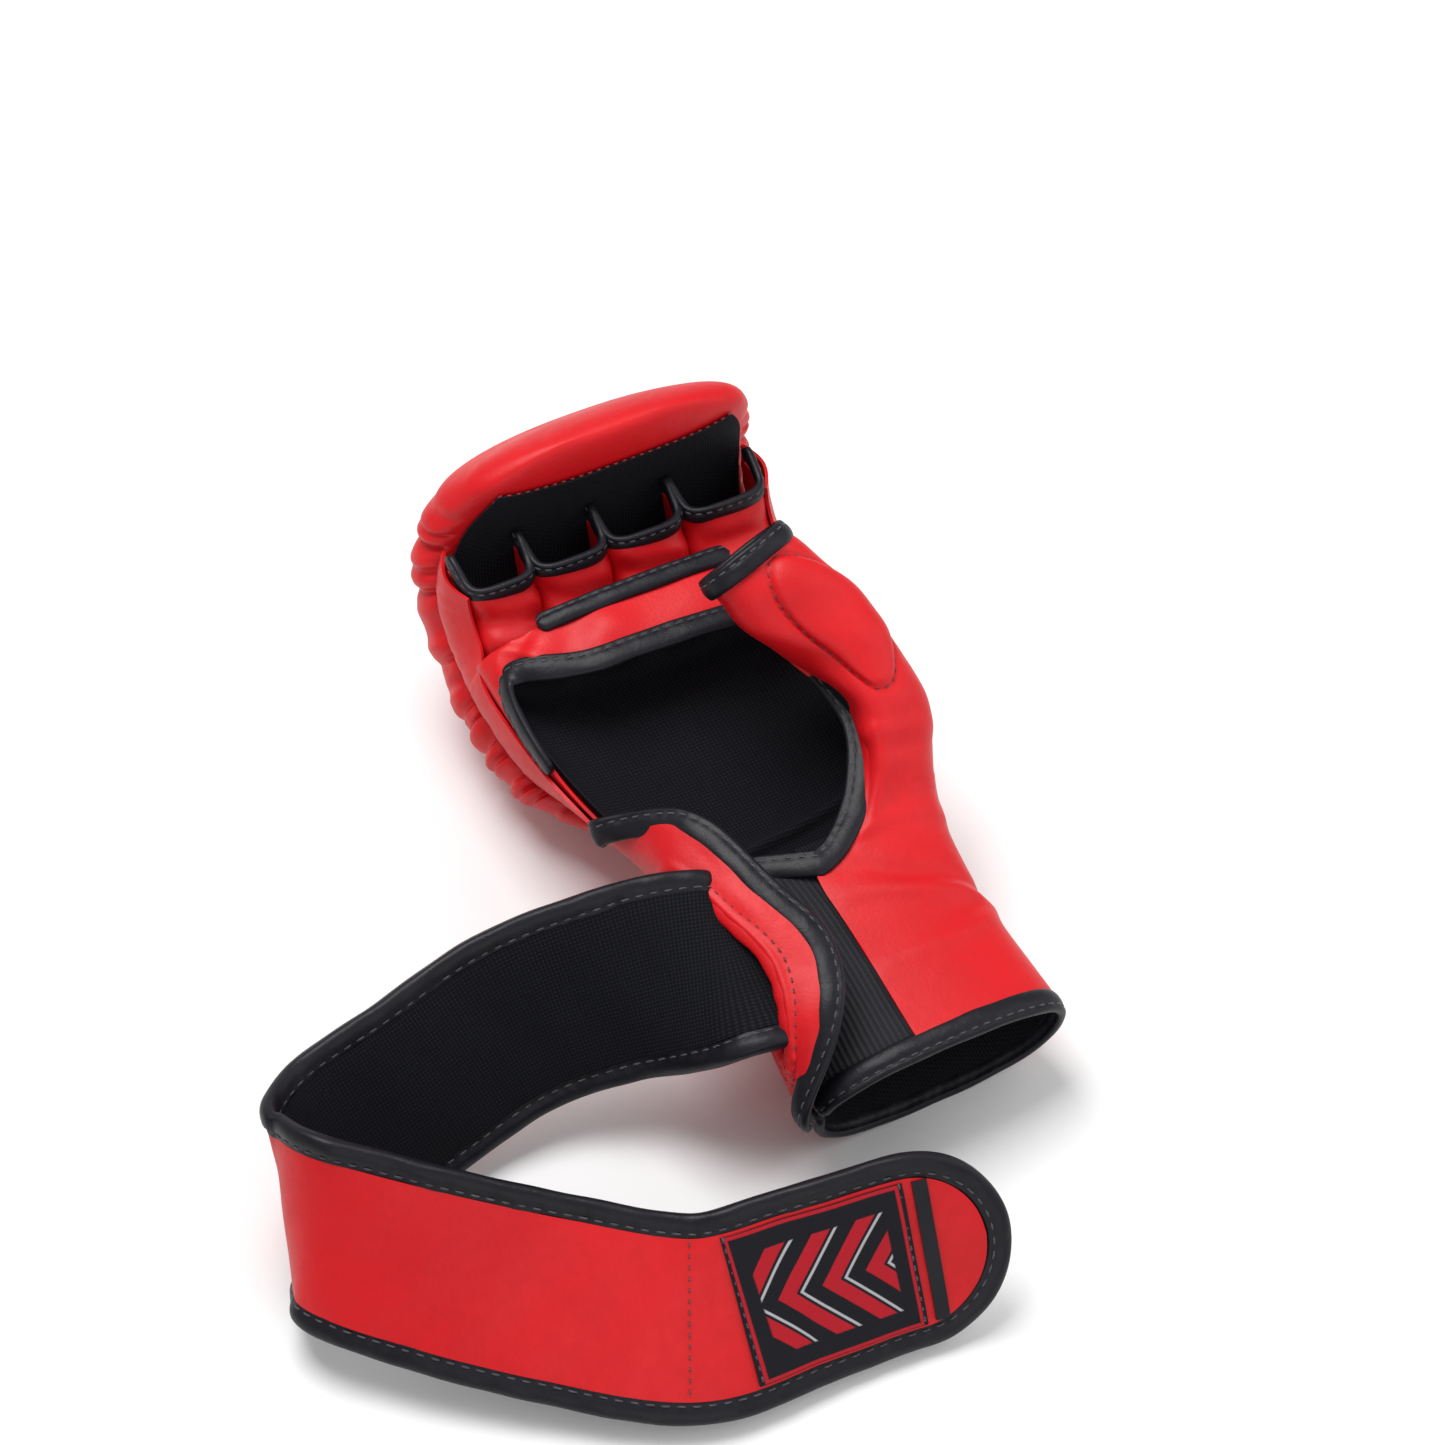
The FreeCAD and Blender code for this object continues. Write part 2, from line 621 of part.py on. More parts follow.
def catmull(values, t):
    """Value at t of a smooth curve through evenly numbered values."""
    i = min(int(t), len(values) - 2)
    f = t - i
    p = [values[min(max(i + k, 0), len(values) - 1)] for k in (-1, 0, 1, 2)]
    return 0.5 * (2 * p[1] + (p[2] - p[0]) * f + (2 * p[0] - 5 * p[1] + 4 * p[2] - p[3]) * f * f
                  + (3 * p[1] - p[0] - 3 * p[2] + p[3]) * f**3)


def strap_frame(t, floor):
    """Middle, direction to the lower edge, and outer normal of the strap at route place t."""
    def place(u):
        x, y, edge, _, dip = (catmull([row[k] for row in STRAP_ROUTE], u) for k in range(5))
        return V(x, y, floor + edge + STRAP_WIDTH / 2 * math.sin(math.radians(dip)) + STRAP_CORE)

    last = len(STRAP_ROUTE) - 1
    ahead = place(min(t + 0.05, last)) - place(max(t - 0.05, 0))
    ahead.normalize()
    heading = math.radians(catmull([row[3] for row in STRAP_ROUTE], t))
    dip = math.radians(catmull([row[4] for row in STRAP_ROUTE], t))
    down = V(math.cos(dip) * math.cos(heading), math.cos(dip) * math.sin(heading), -math.sin(dip))
    down = down - ahead * down.dot(ahead)
    down.normalize()
    return place(t), down, down.cross(ahead)


def strap_lengths(floor):
    """Running length of the strap's middle line at steps of a twentieth of a route place."""
    last = len(STRAP_ROUTE) - 1
    ts = [k / 20 for k in range(last * 20 + 1)]
    run, out = 0.0, [(0.0, 0.0)]
    for a, b in zip(ts, ts[1:]):
        run += (strap_frame(b, floor)[0] - strap_frame(a, floor)[0]).Length
        out.append((b, run))
    return out


def place_at(table, length):
    for (t0, r0), (t1, r1) in zip(table, table[1:]):
        if length <= r1:
            return t0 + (t1 - t0) * (length - r0) / (r1 - r0)
    return table[-1][0]


def strap_solid(table, floor, start, end, inner, outer, width, tip=None):
    """Ply of the strap between two lengths. tip is the length at which its rounded end closes."""
    stations = spread(start, end, max(3, int((end - start) / 14) + 2))
    if tip is not None:
        radius = width / 2
        arc = [tip - radius + radius * math.sin(math.radians(a)) for a in (0, 25, 45, 62, 76, 85)]
        stations = [s for s in stations if s < arc[0] - 4] + arc
    wires = []
    for s in stations:
        p, down, out = strap_frame(place_at(table, s), floor)
        half = width / 2
        if tip is not None and s > tip - half:
            half = math.sqrt(max(half**2 - (s - tip + half) ** 2, 1.0))
        corners = [p - down * half + out * inner, p + down * half + out * inner,
                   p + down * half + out * outer, p - down * half + out * outer]
        wires.append(Part.makePolygon(corners + corners[:1]))
    return loft(wires)


def strap_tape(table, floor, name, start, end, tip, height):
    """Binding tape along the strap's two edges, in one piece round the tip if there is one."""
    reach = STRAP_WIDTH / 2 - TAPE / 2
    if tip is None:
        runs = {"upper": [(s, -reach) for s in spread(start, end, 20)],
                "lower": [(s, reach) for s in spread(start, end, 20)]}
    else:
        centre = tip - STRAP_WIDTH / 2
        straight = spread(start, centre - 4, 22)
        runs = {"round": [(s, -reach) for s in straight]
                + [(centre + reach * math.sin(math.radians(a)), -reach * math.cos(math.radians(a)))
                   for a in spread(0, 180, 13)]
                + [(s, reach) for s in straight[::-1]]}
    made = {}
    for run, places in runs.items():
        points, ups = [], []
        for s, across in places:
            p, down, out = strap_frame(place_at(table, s), floor)
            points.append(p + down * across)
            ups.append(out)
        made[f"strap_{name}_binding_{run}"] = bar(points, ups, TAPE, height)
    return made


def make_strap(floor):
    """The strap's two stretches, either side of its hinge line, ply by ply."""
    table = strap_lengths(floor)
    total = table[-1][1]
    bend = next(r for t, r in table if t >= BEND_STATION)
    core = STRAP_CORE / 2
    plies = {
        "skin": (core + PLY_GAP, core + PLY_GAP + SKIN),
        "core": (-core, core),
        "lining": (-core - PLY_GAP - LINER, -core - PLY_GAP),
    }
    inner_width = STRAP_WIDTH - 2 * TAPE - 2 * PLY_GAP
    edge = core + PLY_GAP + SKIN + 0.5
    stretches = {"near": (STRAP_START, bend - BEND_GAP / 2, None),
                 "far": (bend + BEND_GAP / 2, total, total)}
    made = {}
    for name, (start, end, tip) in stretches.items():
        inner_tip = None if tip is None else tip - TAPE - PLY_GAP
        inner_end = end if tip is None else inner_tip
        for ply, (low, high) in plies.items():
            made[f"strap_{name}_{ply}"] = strap_solid(
                table, floor, start, inner_end, low, high, inner_width, inner_tip)
        made.update(strap_tape(table, floor, name, start, end, tip, 2 * edge))
    face = core + PLY_GAP + SKIN + PLY_GAP
    label_end = total - 31.0
    made["label_patch"] = strap_solid(table, floor, label_end - LABEL_LENGTH, label_end, face,
                                      face + LABEL_THICKNESS, inner_width - 1.5)
    back = -core - PLY_GAP - LINER - PLY_GAP
    made["hook_patch"] = strap_solid(table, floor, total - 26 - HOOK_LENGTH, total - 26,
                                     back - PATCH_THICKNESS, back, inner_width - 6)
    made["loop_patch"] = strap_solid(table, floor, 40, 40 + LOOP_LENGTH, face, face + PATCH_THICKNESS,
                                     inner_width - 4)
    return made, strap_frame(BEND_STATION, floor), total


# ---------------------------------------------------------------- putting it together

def on_table(shape):
    shape = shape.copy()
    shape.rotate(V(0, 0, 0), V(1, 0, 0), LIE_ANGLE)
    return shape


def tilt(v):
    a = math.radians(LIE_ANGLE)
    return V(v.x, v.y * math.cos(a) - v.z * math.sin(a), v.y * math.sin(a) + v.z * math.cos(a))


def main():
    glove = {}
    for make in (make_pad, make_linings, make_stalls, make_side_panels, make_wrist, make_palm, make_thumb,
                 make_flap):
        glove.update(make())
    parts = {name: on_table(shape) for name, shape in glove.items()}
    floor = min(shape.BoundBox.ZMin for shape in parts.values())
    strap, (bend_point, bend_axis, _), strap_length = make_strap(floor)
    parts.update(strap)

    box = FreeCAD.BoundBox()
    for shape in parts.values():
        box.add(shape.BoundBox)
    shift = V(-(box.XMin + box.XMax) / 2, -(box.YMin + box.YMax) / 2, -box.ZMin)

    os.makedirs("parts", exist_ok=True)
    for name, shape in sorted(parts.items()):
        moved = shape.copy()
        moved.translate(shift)
        if not moved.isValid() or moved.Volume <= 0:
            print("CHECK", name, moved.isValid(), moved.Volume)
        moved.exportStep(f"parts/{name}.step")

    slot_point, slot_along, _, _ = slot_frame()
    along, across, _ = thumb_frame()
    places = {
        "finger hinge": (tilt(HINGE) + shift, tilt(V(1, 0, 0))),
        "thumb hinge": (tilt(THUMB_ROOT) + shift, tilt(across)),
        "flap hinge": (tilt(flap_base(WRIST_Y)) + shift, tilt(flap_base(FLAP_HIGH) - flap_base(FLAP_LOW))),
        "slot": (tilt(slot_point) + shift, tilt(slot_along)),
        "strap bend": (bend_point + shift, bend_axis),
        "cuff mouth": (tilt(V(2, 0, -2)) + shift, tilt(V(0, -1, 0))),
        "shift": (shift, V(0, 0, 0)),
    }
    for name, (point, axis) in places.items():
        print(name, [round(c, 2) for c in point], [round(c, 4) for c in axis])
    print("floor", round(floor, 2), "strap length", round(strap_length, 1))
    print("box", [round(v, 1) for v in (box.XLength, box.YLength, box.ZLength)])


main()
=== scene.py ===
import json
import math

import bmesh
import bpy
import numpy as np
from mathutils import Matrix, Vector


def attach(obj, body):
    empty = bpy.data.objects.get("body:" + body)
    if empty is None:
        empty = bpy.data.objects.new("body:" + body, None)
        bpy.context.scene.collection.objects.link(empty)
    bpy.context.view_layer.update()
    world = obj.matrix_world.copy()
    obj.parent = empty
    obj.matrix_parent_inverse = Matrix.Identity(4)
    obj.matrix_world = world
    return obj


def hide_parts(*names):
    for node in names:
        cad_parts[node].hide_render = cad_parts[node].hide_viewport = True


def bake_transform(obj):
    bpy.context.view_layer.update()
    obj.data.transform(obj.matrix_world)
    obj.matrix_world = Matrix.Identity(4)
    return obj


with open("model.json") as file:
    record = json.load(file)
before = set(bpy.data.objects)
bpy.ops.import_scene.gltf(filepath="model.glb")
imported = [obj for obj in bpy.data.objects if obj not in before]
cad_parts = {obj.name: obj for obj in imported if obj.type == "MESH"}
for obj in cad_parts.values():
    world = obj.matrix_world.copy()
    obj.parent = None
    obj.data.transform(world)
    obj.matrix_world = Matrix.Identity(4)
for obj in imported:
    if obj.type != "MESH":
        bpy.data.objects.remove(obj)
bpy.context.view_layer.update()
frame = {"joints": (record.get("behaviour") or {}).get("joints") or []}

# ---------------------------------------------------------------- knuckle pad
# A thick foam block, moulded to the curl of the fist, in one cover of red synthetic leather.
# The cover is too long for the inside of the curl, so it is gathered into the seam down each side.

LIE = math.radians(11.0)     # the forearm line rises this much when the glove lies on its back
HINGE = np.array([0.0, 199.0, -14.0])    # the knuckle hinge in the hand frame
HINGE_IN_ROW = next(joint["pos_m"] for joint in frame["joints"] if joint["name"] == "knuckle_flex")
LEATHER_THICK, LEATHER_TURNED = 0.0012, -0.0012    # turned: for a grid whose columns run the other way
KNIT_THICK = 0.0008


def tilted(points):
    """Hand frame (X thumb, Y fingertips, D out of the palm) turned about X by the lie angle."""
    x, y, d = np.moveaxis(np.asarray(points, float), -1, 0)
    return np.stack([x, y * math.cos(LIE) - d * math.sin(LIE), y * math.sin(LIE) + d * math.cos(LIE)], -1)


ORIGIN = np.array(HINGE_IN_ROW) * 1000 - tilted(HINGE)


def placed(points):
    """Hand frame in millimetres to the row frame in metres."""
    return (tilted(points) + ORIGIN) / 1000


def curve(x, knots):
    """Cubic pieces through (x, value) knots; the slope at a knot is that of the line between its neighbours."""
    kx, kv = np.array(knots, float).T
    count = len(kx)
    before, after = np.maximum(np.arange(count) - 1, 0), np.minimum(np.arange(count) + 1, count - 1)
    slope = (kv[after] - kv[before]) / (kx[after] - kx[before])
    x = np.clip(np.asarray(x, float), kx[0], kx[-1])
    i = np.clip(np.searchsorted(kx, x) - 1, 0, count - 2)
    h = kx[i + 1] - kx[i]
    t = (x - kx[i]) / h
    return (kv[i] * (2 * t**3 - 3 * t**2 + 1) + slope[i] * h * (t**3 - 2 * t**2 + t)
            + kv[i + 1] * (3 * t**2 - 2 * t**3) + slope[i + 1] * h * (t**3 - t**2))


def power(value, exponent):
    """Power that keeps the sign, for rounded-square sections."""
    return np.sign(value) * np.abs(value) ** exponent


def ease(x, low, high):
    """0 below low, 1 above high, and a smooth step between."""
    t = np.clip((x - low) / (high - low), 0, 1)
    return t * t * (3 - 2 * t)


def hump(x, middle, width):
    """1 at the middle, falling off as a bell on both sides."""
    return np.exp(-(((x - middle) / width) ** 2))


def normals_of(grid, around=False):
    """Unit cross product of the grid's two directions. around: its second direction closes on itself."""
    down = np.gradient(grid, axis=0)
    across = (np.roll(grid, -1, 1) - np.roll(grid, 1, 1)) / 2 if around else np.gradient(grid, axis=1)
    normal = np.cross(down, across)
    return normal / np.maximum(np.linalg.norm(normal, axis=-1, keepdims=True), 1e-12)


def skin(name, grid, finish, thick=0.0, around=False, uv=None, crease=55):
    """Piece from a grid of points in metres. With thick, the same grid moved in by thick is its other face,
    and walls close the rim. around: the second direction closes on itself. Faces end up pointing outwards."""
    rows, cols = grid.shape[:2]
    span = cols if around else cols - 1
    if uv is None:
        u = np.append(0, np.cumsum(np.linalg.norm(np.diff(grid, axis=0), axis=-1).mean(1)))
        closed = np.concatenate([grid, grid[:, :1]], 1) if around else grid
        v = np.append(0, np.cumsum(np.linalg.norm(np.diff(closed, axis=1), axis=-1).mean(0)))
        uv = np.stack(np.meshgrid(u, v, indexing="ij"), -1)
    r, c = (k.ravel() for k in np.meshgrid(np.arange(rows - 1), np.arange(span), indexing="ij"))
    quad_r = np.stack([r, r + 1, r + 1, r], -1)
    quad_c = np.stack([c, c, c + 1, c + 1], -1)
    faces = quad_r * cols + quad_c % cols
    coords = uv[quad_r, quad_c]
    points = grid.reshape(-1, 3)
    if thick:
        back = (grid - normals_of(grid, around) * thick).reshape(-1, 3)
        points = np.concatenate([points, back])
        rim = [(np.stack([k * 0 + row, k], -1), flip) for row, flip in ((0, False), (rows - 1, True))
               for k in [np.arange(span + 1)]]
        if not around:
            rim += [(np.stack([k, k * 0 + col], -1), flip) for col, flip in ((0, True), (cols - 1, False))
                    for k in [np.arange(rows)]]
        walls, wall_uv = [], []
        for line, flip in rim:
            ids = line[:, 0] * cols + line[:, 1] % cols
            ring = uv[line[:, 0], line[:, 1]]
            wall = np.stack([ids[:-1], ids[1:], ids[1:] + rows * cols, ids[:-1] + rows * cols], -1)
            both = np.stack([ring[:-1], ring[1:], ring[1:], ring[:-1]], 1)
            walls.append(wall[:, ::-1] if flip else wall)
            wall_uv.append(both[:, ::-1] if flip else both)
        coords = np.concatenate([coords, coords[:, ::-1], *wall_uv])
        faces = np.concatenate([faces, faces[:, ::-1] + rows * cols, *walls])
    return mesh_piece(name, points, faces, coords, finish, crease)


def mesh_piece(name, points, faces, coords, finish, crease=55):
    """Object from points, quads and their UVs in metres, turned so that its signed volume is positive."""
    a, b, c, d = (points[faces[:, k]] for k in range(4))
    volume = np.einsum("ij,ij->", a, np.cross(b, c)) + np.einsum("ij,ij->", a, np.cross(c, d))
    if volume < 0:
        faces, coords = faces[:, ::-1], coords[:, ::-1]
    mesh = bpy.data.meshes.new(name)
    mesh.from_pydata(points.tolist(), [], faces.tolist())
    layer = mesh.uv_layers.new(name="cloth")
    layer.data.foreach_set("uv", np.ascontiguousarray(coords, float).ravel())
    mesh.polygons.foreach_set("use_smooth", np.ones(len(faces), bool))
    mesh.set_sharp_from_angle(angle=math.radians(crease))
    mesh.materials.append(finish)
    piece = bpy.data.objects.new(name, mesh)
    bpy.context.scene.collection.objects.link(piece)
    return piece


class Value:
    """A socket in a finish's node tree. Python's arithmetic on it adds Math nodes."""

    def __init__(self, finish, socket):
        self.finish, self.socket = finish, socket

    def math(self, operation, *others):
        return self.finish.node("ShaderNodeMath", {"operation": operation}, dict(enumerate((self, *others))))

    def __add__(self, other):
        return self.math("ADD", other)

    def __mul__(self, other):
        return self.math("MULTIPLY", other)

    def __sub__(self, other):
        return self.math("SUBTRACT", other)

    def __rsub__(self, other):
        return (self * -1) + other

    __radd__ = __add__
    __rmul__ = __mul__

    def above(self, limit, soft):
        """0 below limit - soft, 1 above limit + soft."""
        return self.finish.node("ShaderNodeMapRange", {"interpolation_type": "SMOOTHSTEP"},
                                {0: self, 1: limit - soft, 2: limit + soft})


class Finish:
    """A material with one Principled shader. Constants go on the shader's own sockets."""

    def __init__(self, name, **constants):
        self.material = bpy.data.materials.new(name)
        self.material.use_nodes = True
        self.tree = self.material.node_tree
        self.shader = self.tree.nodes["Principled BSDF"]
        for socket, value in constants.items():
            self.shader.inputs[socket.replace("_", " ")].default_value = value

    def node(self, kind, settings=None, inputs=None, out=0):
        """Adds a node: its settings first, then values or links into its sockets. Gives one output."""
        made = self.tree.nodes.new(kind)
        for key, value in (settings or {}).items():
            setattr(made, key, value)
        for key, value in (inputs or {}).items():
            if isinstance(value, Value):
                self.tree.links.new(value.socket, made.inputs[key])
            else:
                made.inputs[key].default_value = value
        return Value(self, made.outputs[out])

    def place(self):
        """Where a point lies on the object, in metres."""
        return self.node("ShaderNodeTexCoord", out="Object")

    def cloth(self):
        """Distances along and across the piece in metres, from its UV map."""
        uv = self.node("ShaderNodeUVMap", {"uv_map": "cloth"})
        return [self.node("ShaderNodeSeparateXYZ", inputs={0: uv}, out=k) for k in (0, 1)]

    def noise(self, where, scale, detail=2.0, roughness=0.5, distortion=0.0):
        return self.node("ShaderNodeTexNoise", inputs={
            "Vector": where, "Scale": scale, "Detail": detail, "Roughness": roughness, "Distortion": distortion})

    def mix(self, share, first, second):
        """Colour between two colours."""
        return self.node("ShaderNodeMix", {"data_type": "RGBA"}, {"Factor": share, 6: first, 7: second}, out=2)

    def show(self, **links):
        for socket, value in links.items():
            self.tree.links.new(value.socket, self.shader.inputs[socket.replace("_", " ")])

    def relief(self, *layers):
        """Chains Bump nodes, from (height, strength, depth in metres) layers, into the shader's Normal."""
        under = None
        for height, strength, depth in layers:
            inputs = {"Height": height, "Strength": strength, "Distance": depth}
            if under is not None:
                inputs["Normal"] = under
            under = self.node("ShaderNodeBump", None, inputs)
        self.show(Normal=under)


def leather(name, base, shade, roughness):
    """Synthetic leather: cell-like grain, soft creases, slow drifts of colour and a few duller, rubbed areas."""
    made = Finish(name, Specular_IOR_Level=0.30)
    where = made.place()
    drift = made.noise(where, 17, 3, 0.55)
    mottle = made.noise(where, 210, 3, 0.6)
    cells = made.node("ShaderNodeTexVoronoi", {"feature": "SMOOTH_F1"}, {"Vector": where, "Scale": 900.0})
    share = (drift * 0.7 + mottle * 0.3).above(0.5, 0.22)
    made.show(Base_Color=made.mix(share, base, shade), Roughness=mottle * 0.16 + drift * 0.14 + (roughness - 0.15))
    creases = made.noise(where, 46, 3, 0.5, 0.6)
    made.relief((creases, 0.3, 0.0012), (mottle, 0.18, 0.0004), (cells, 0.3, 0.00016))
    return made.material


RED = leather("red_leather", (0.64, 0.0045, 0.009, 1), (0.53, 0.003, 0.007, 1), 0.47)
PAD_START = 121.0
INNER_D = -17.3              # the pad's inner face, which the backs of the fingers lie on
BEND = 40.0                  # radius of that face round the knuckles
HAND_LENGTH = 78.0
BEND_END = HAND_LENGTH + math.pi / 2 * BEND
PAD_LENGTH = BEND_END + 29.0
PAD_MIDDLE = -12.0
PAD_MIDDLE_TIP = 8.0         # the front end sits this much further towards the thumb
PAD_HALF_WIDTH = 68.0
NOSE, TAIL = 15.0, 9.0       # lengths of the pad's rounded front and rear ends


def pad_line(s):
    """Inner face at distance s: straight along the hand, a quarter circle, then straight. Gives (y, d) and normal."""
    turn = np.clip((s - HAND_LENGTH) / BEND, 0, math.pi / 2)
    ny, nd = np.sin(turn), -np.cos(turn)
    y = PAD_START + np.minimum(s, HAND_LENGTH) + BEND * ny
    d = INNER_D + BEND * (1 + nd) + np.maximum(s - BEND_END, 0)
    return y, d, ny, nd


def pad_size(s):
    """Thickness and half width of the pad at s, closing as a quarter ellipse over its front end."""
    thick = curve(s, [(0, 5), (17.2, 18.2), (42.9, 35.5), (78, 46.1), (102, 48), (140.8, 34.6), (155.3, 25),
                      (PAD_LENGTH, 16)])
    half = PAD_HALF_WIDTH * curve(s, [(0, 0.54), (17.2, 0.72), (46.8, 0.95), (98, 1), (122, 0.985), (140, 0.92),
                                      (155, 0.80), (PAD_LENGTH, 0.60)])
    nose = np.sqrt(np.clip(1 - (np.clip(s - PAD_LENGTH + NOSE, 0, None) / NOSE) ** 2, 0, 1))
    tail = np.sqrt(np.clip(1 - (np.clip(TAIL - s, 0, None) / TAIL) ** 2, 0, 1))
    return thick, half, nose * (0.25 + 0.75 * tail)


def gathers(s, angle):
    """Depth of the folds: waves along s of uneven pitch, deepest at the seam and dying away up the side.
    angle is 0 at the pad's side, -90 in the middle of its inner face and 90 on its back, the same on both sides."""
    fan = s + (s - 84) * 0.16 * np.clip((angle + 34) / 90, 0, 1)
    warped = fan + 2.2 * np.sin(fan / 7.3 + 1.0) + 1.3 * np.sin(fan / 3.1)
    valley = (0.5 + 0.5 * np.cos(2 * np.pi * warped / 8.2)) ** 2.4
    broad = (0.5 + 0.5 * np.cos(2 * np.pi * (fan + 3 * np.sin(fan / 11)) / 16.5 + 0.8)) ** 1.6
    along = ease(s, 14, 36) * (1 - ease(s, 130, 150))
    up = np.clip((angle + 34) / 100, 0, 2)
    reach = 1 + 0.35 * np.sin(s / 5.3) * np.sin(s / 12.7)
    near = np.exp(-((up / (0.36 * reach)) ** 1.4)) * ease(angle, -33, -18)
    far = np.exp(-((up / 0.80) ** 2)) * ease(angle, -33, -8)
    return along * (4.6 * near * (valley - 0.22) + 2.6 * far * (broad - 0.3))


def pad_point(s, theta, lift=0.0, folded=True):
    """Closed section round the pad: theta 0 thumb side, 90 back, 180 little finger side, 270 inner face.
    The section is two half superellipses meeting at the widest line, pushed in by the gathers."""
    s, theta = np.broadcast_arrays(np.asarray(s, float), np.asarray(theta, float))
    y, d, ny, nd = pad_line(s)
    thick, half, close = pad_size(s)
    c, q = np.cos(np.radians(theta)), np.sin(np.radians(theta))
    back = q > 0
    middle = 0.42 * thick
    side = np.degrees(np.arcsin(np.clip(q, -1, 1)))
    fold = gathers(s, side) * np.where(c > 0, 0.85, 1.0) if folded else 0.0
    wide = half * (0.35 + 0.65 * close ** 0.8) - fold + lift
    x = PAD_MIDDLE + PAD_MIDDLE_TIP * ease(s, 112, 160) + wide * np.where(back, power(c, 0.86), power(c, 0.70))
    h = middle + close * np.where(back, (thick - middle - 0.55 * fold) * power(np.clip(q, 0, 1), 0.92),
                                  -(middle - 0.3 * fold) * power(np.clip(-q, 0, 1), 0.75))
    h = h + lift * np.where(back, q, np.minimum(q * 1.5, 0) * 0.7 + q * 0.3)
    return np.stack([x, y + ny * h, d + nd * h], -1)


s_steps = np.concatenate([np.linspace(0, 12, 14)[:-1], np.linspace(12, PAD_LENGTH - NOSE, 330)[:-1],
                          PAD_LENGTH - NOSE + NOSE * np.sin(np.linspace(0, math.pi / 2, 26))])
turns = np.linspace(0, 360, 201)[:-1]
pad = skin("pad_cover", placed(pad_point(s_steps[:, None], turns[None, :])), RED, around=True, crease=80)


def sealed(piece, reach=0.00004):
    """Merges the points that meet, so that a tube's closed ends have no slit, and caps what is left open."""
    form = bmesh.new()
    form.from_mesh(piece.data)
    bmesh.ops.remove_doubles(form, verts=form.verts, dist=reach)
    rims = [edge for edge in form.edges if edge.is_boundary]
    if rims:
        bmesh.ops.holes_fill(form, edges=rims, sides=0)
    form.to_mesh(piece.data)
    form.free()
    piece.data.set_sharp_from_angle(angle=math.radians(75))
    return piece


sealed(pad)
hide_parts("pad_skin_back", "pad_skin_fingers", "pad_foam_back", "pad_foam_fingers")
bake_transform(pad)

# ---------------------------------------------------------------- lining of the curl
# Black brushed fleece on the pad's inner face, from the knuckles to the front rim, where it is sewn down
# with small red stitches that show as dots along its edge.


def fabric(name, dark, light, pitch, depth, fuzz, weave="ribs"):
    """Black cloth: a lattice of loops from crossed sine waves over the piece's own UV, broken up by fine fuzz."""
    made = Finish(name, Specular_IOR_Level=0.15)
    where = made.place()
    u, v = made.cloth()
    k = 2 * math.pi / pitch
    if weave == "loops":
        one, two = ((u + v) * (k * 0.5)).math("SINE"), ((u - v) * (k * 0.5)).math("SINE")
        lattice = (one * two + 1.0) * 0.5
    else:
        one, two = (v * k).math("SINE"), ((u + v * 0.5) * (k * 0.62)).math("SINE")
        lattice = (one * 0.7 + two * 0.3 + 1.0) * 0.5
    fine = made.noise(where, 1500, 2, 0.6)
    slow = made.noise(where, 30, 3, 0.6)
    speck = (lattice * 0.55 + fine * fuzz).above(0.62, 0.22)
    share = speck * (slow * 0.8 + 0.3)
    made.show(Base_Color=made.mix(share, dark, light), Roughness=fine * 0.12 + 0.8)
    made.relief((slow, 0.25, 0.0012), (lattice, 0.55, depth), (fine, 0.35, depth * 0.7))
    return made.material


FLEECE = fabric("black_fleece", (0.0030, 0.0032, 0.0048, 1), (0.016, 0.0165, 0.023, 1), 0.0011, 0.00015, 0.6)
MESH_KNIT = fabric("black_mesh_knit", (0.0022, 0.0024, 0.0040, 1), (0.014, 0.0145, 0.021, 1), 0.0013, 0.00012,
                   0.5, "loops")


def stitches(name, line, face, finish, length=2.8, pitch=4.6, radius=0.42, sink=0.25, row=False):
    """Sewn line: low-sided spindles of the given length, one every pitch, along a line in millimetres.
    Each is a ring profile sin(t)^0.6 swept on the line's own direction, and face says which way is up.
    row: the line is in the row frame, not in the hand's."""
    step = np.linalg.norm(np.diff(line, axis=0), axis=1)
    run = np.append(0, np.cumsum(step))
    at = np.arange(pitch / 2, run[-1] - pitch / 2, pitch)

    def read(values, where):
        return np.stack([np.interp(where, run, values[:, k]) for k in range(3)], -1)

    middle, up = read(line, at), read(face, at)
    ahead = read(line, at + 0.4) - read(line, at - 0.4)
    ahead /= np.linalg.norm(ahead, axis=1, keepdims=True)
    up -= ahead * np.sum(up * ahead, 1, keepdims=True)
    up /= np.linalg.norm(up, axis=1, keepdims=True)
    side = np.cross(ahead, up)
    t = np.linspace(0.12, math.pi - 0.12, 6)
    ring = np.arange(6) * math.pi / 3
    fat = np.sin(t)[:, None] ** 0.6 * radius
    shape = np.stack([np.broadcast_to(-np.cos(t)[:, None] * length / 2, (6, 6)),
                      fat * np.cos(ring), fat * np.sin(ring) + (np.sin(t)[:, None] - 1) * 0.3 - sink], -1)
    frames = np.stack([ahead, side, up], 1)
    points = middle[:, None, None, :] + np.einsum("abk,nkj->nabj", shape, frames)
    count = len(at)
    r, c = (k.ravel() for k in np.meshgrid(np.arange(5), np.arange(6), indexing="ij"))
    one = np.stack([r * 6 + c, (r + 1) * 6 + c, (r + 1) * 6 + (c + 1) % 6, r * 6 + (c + 1) % 6], -1)
    caps = np.array([[0, 1, 2, 3], [0, 3, 4, 5], [33, 32, 31, 30], [35, 34, 33, 30]])
    one = np.concatenate([one, caps])
    faces = (one[None] + (np.arange(count) * 36)[:, None, None]).reshape(-1, 4)
    flat = points.reshape(-1, 3) / 1000 if row else placed(points.reshape(-1, 3))
    coords = np.stack([flat[faces][..., 0], flat[faces][..., 1]], -1)
    return mesh_piece(name, flat, faces, coords, finish, 80)


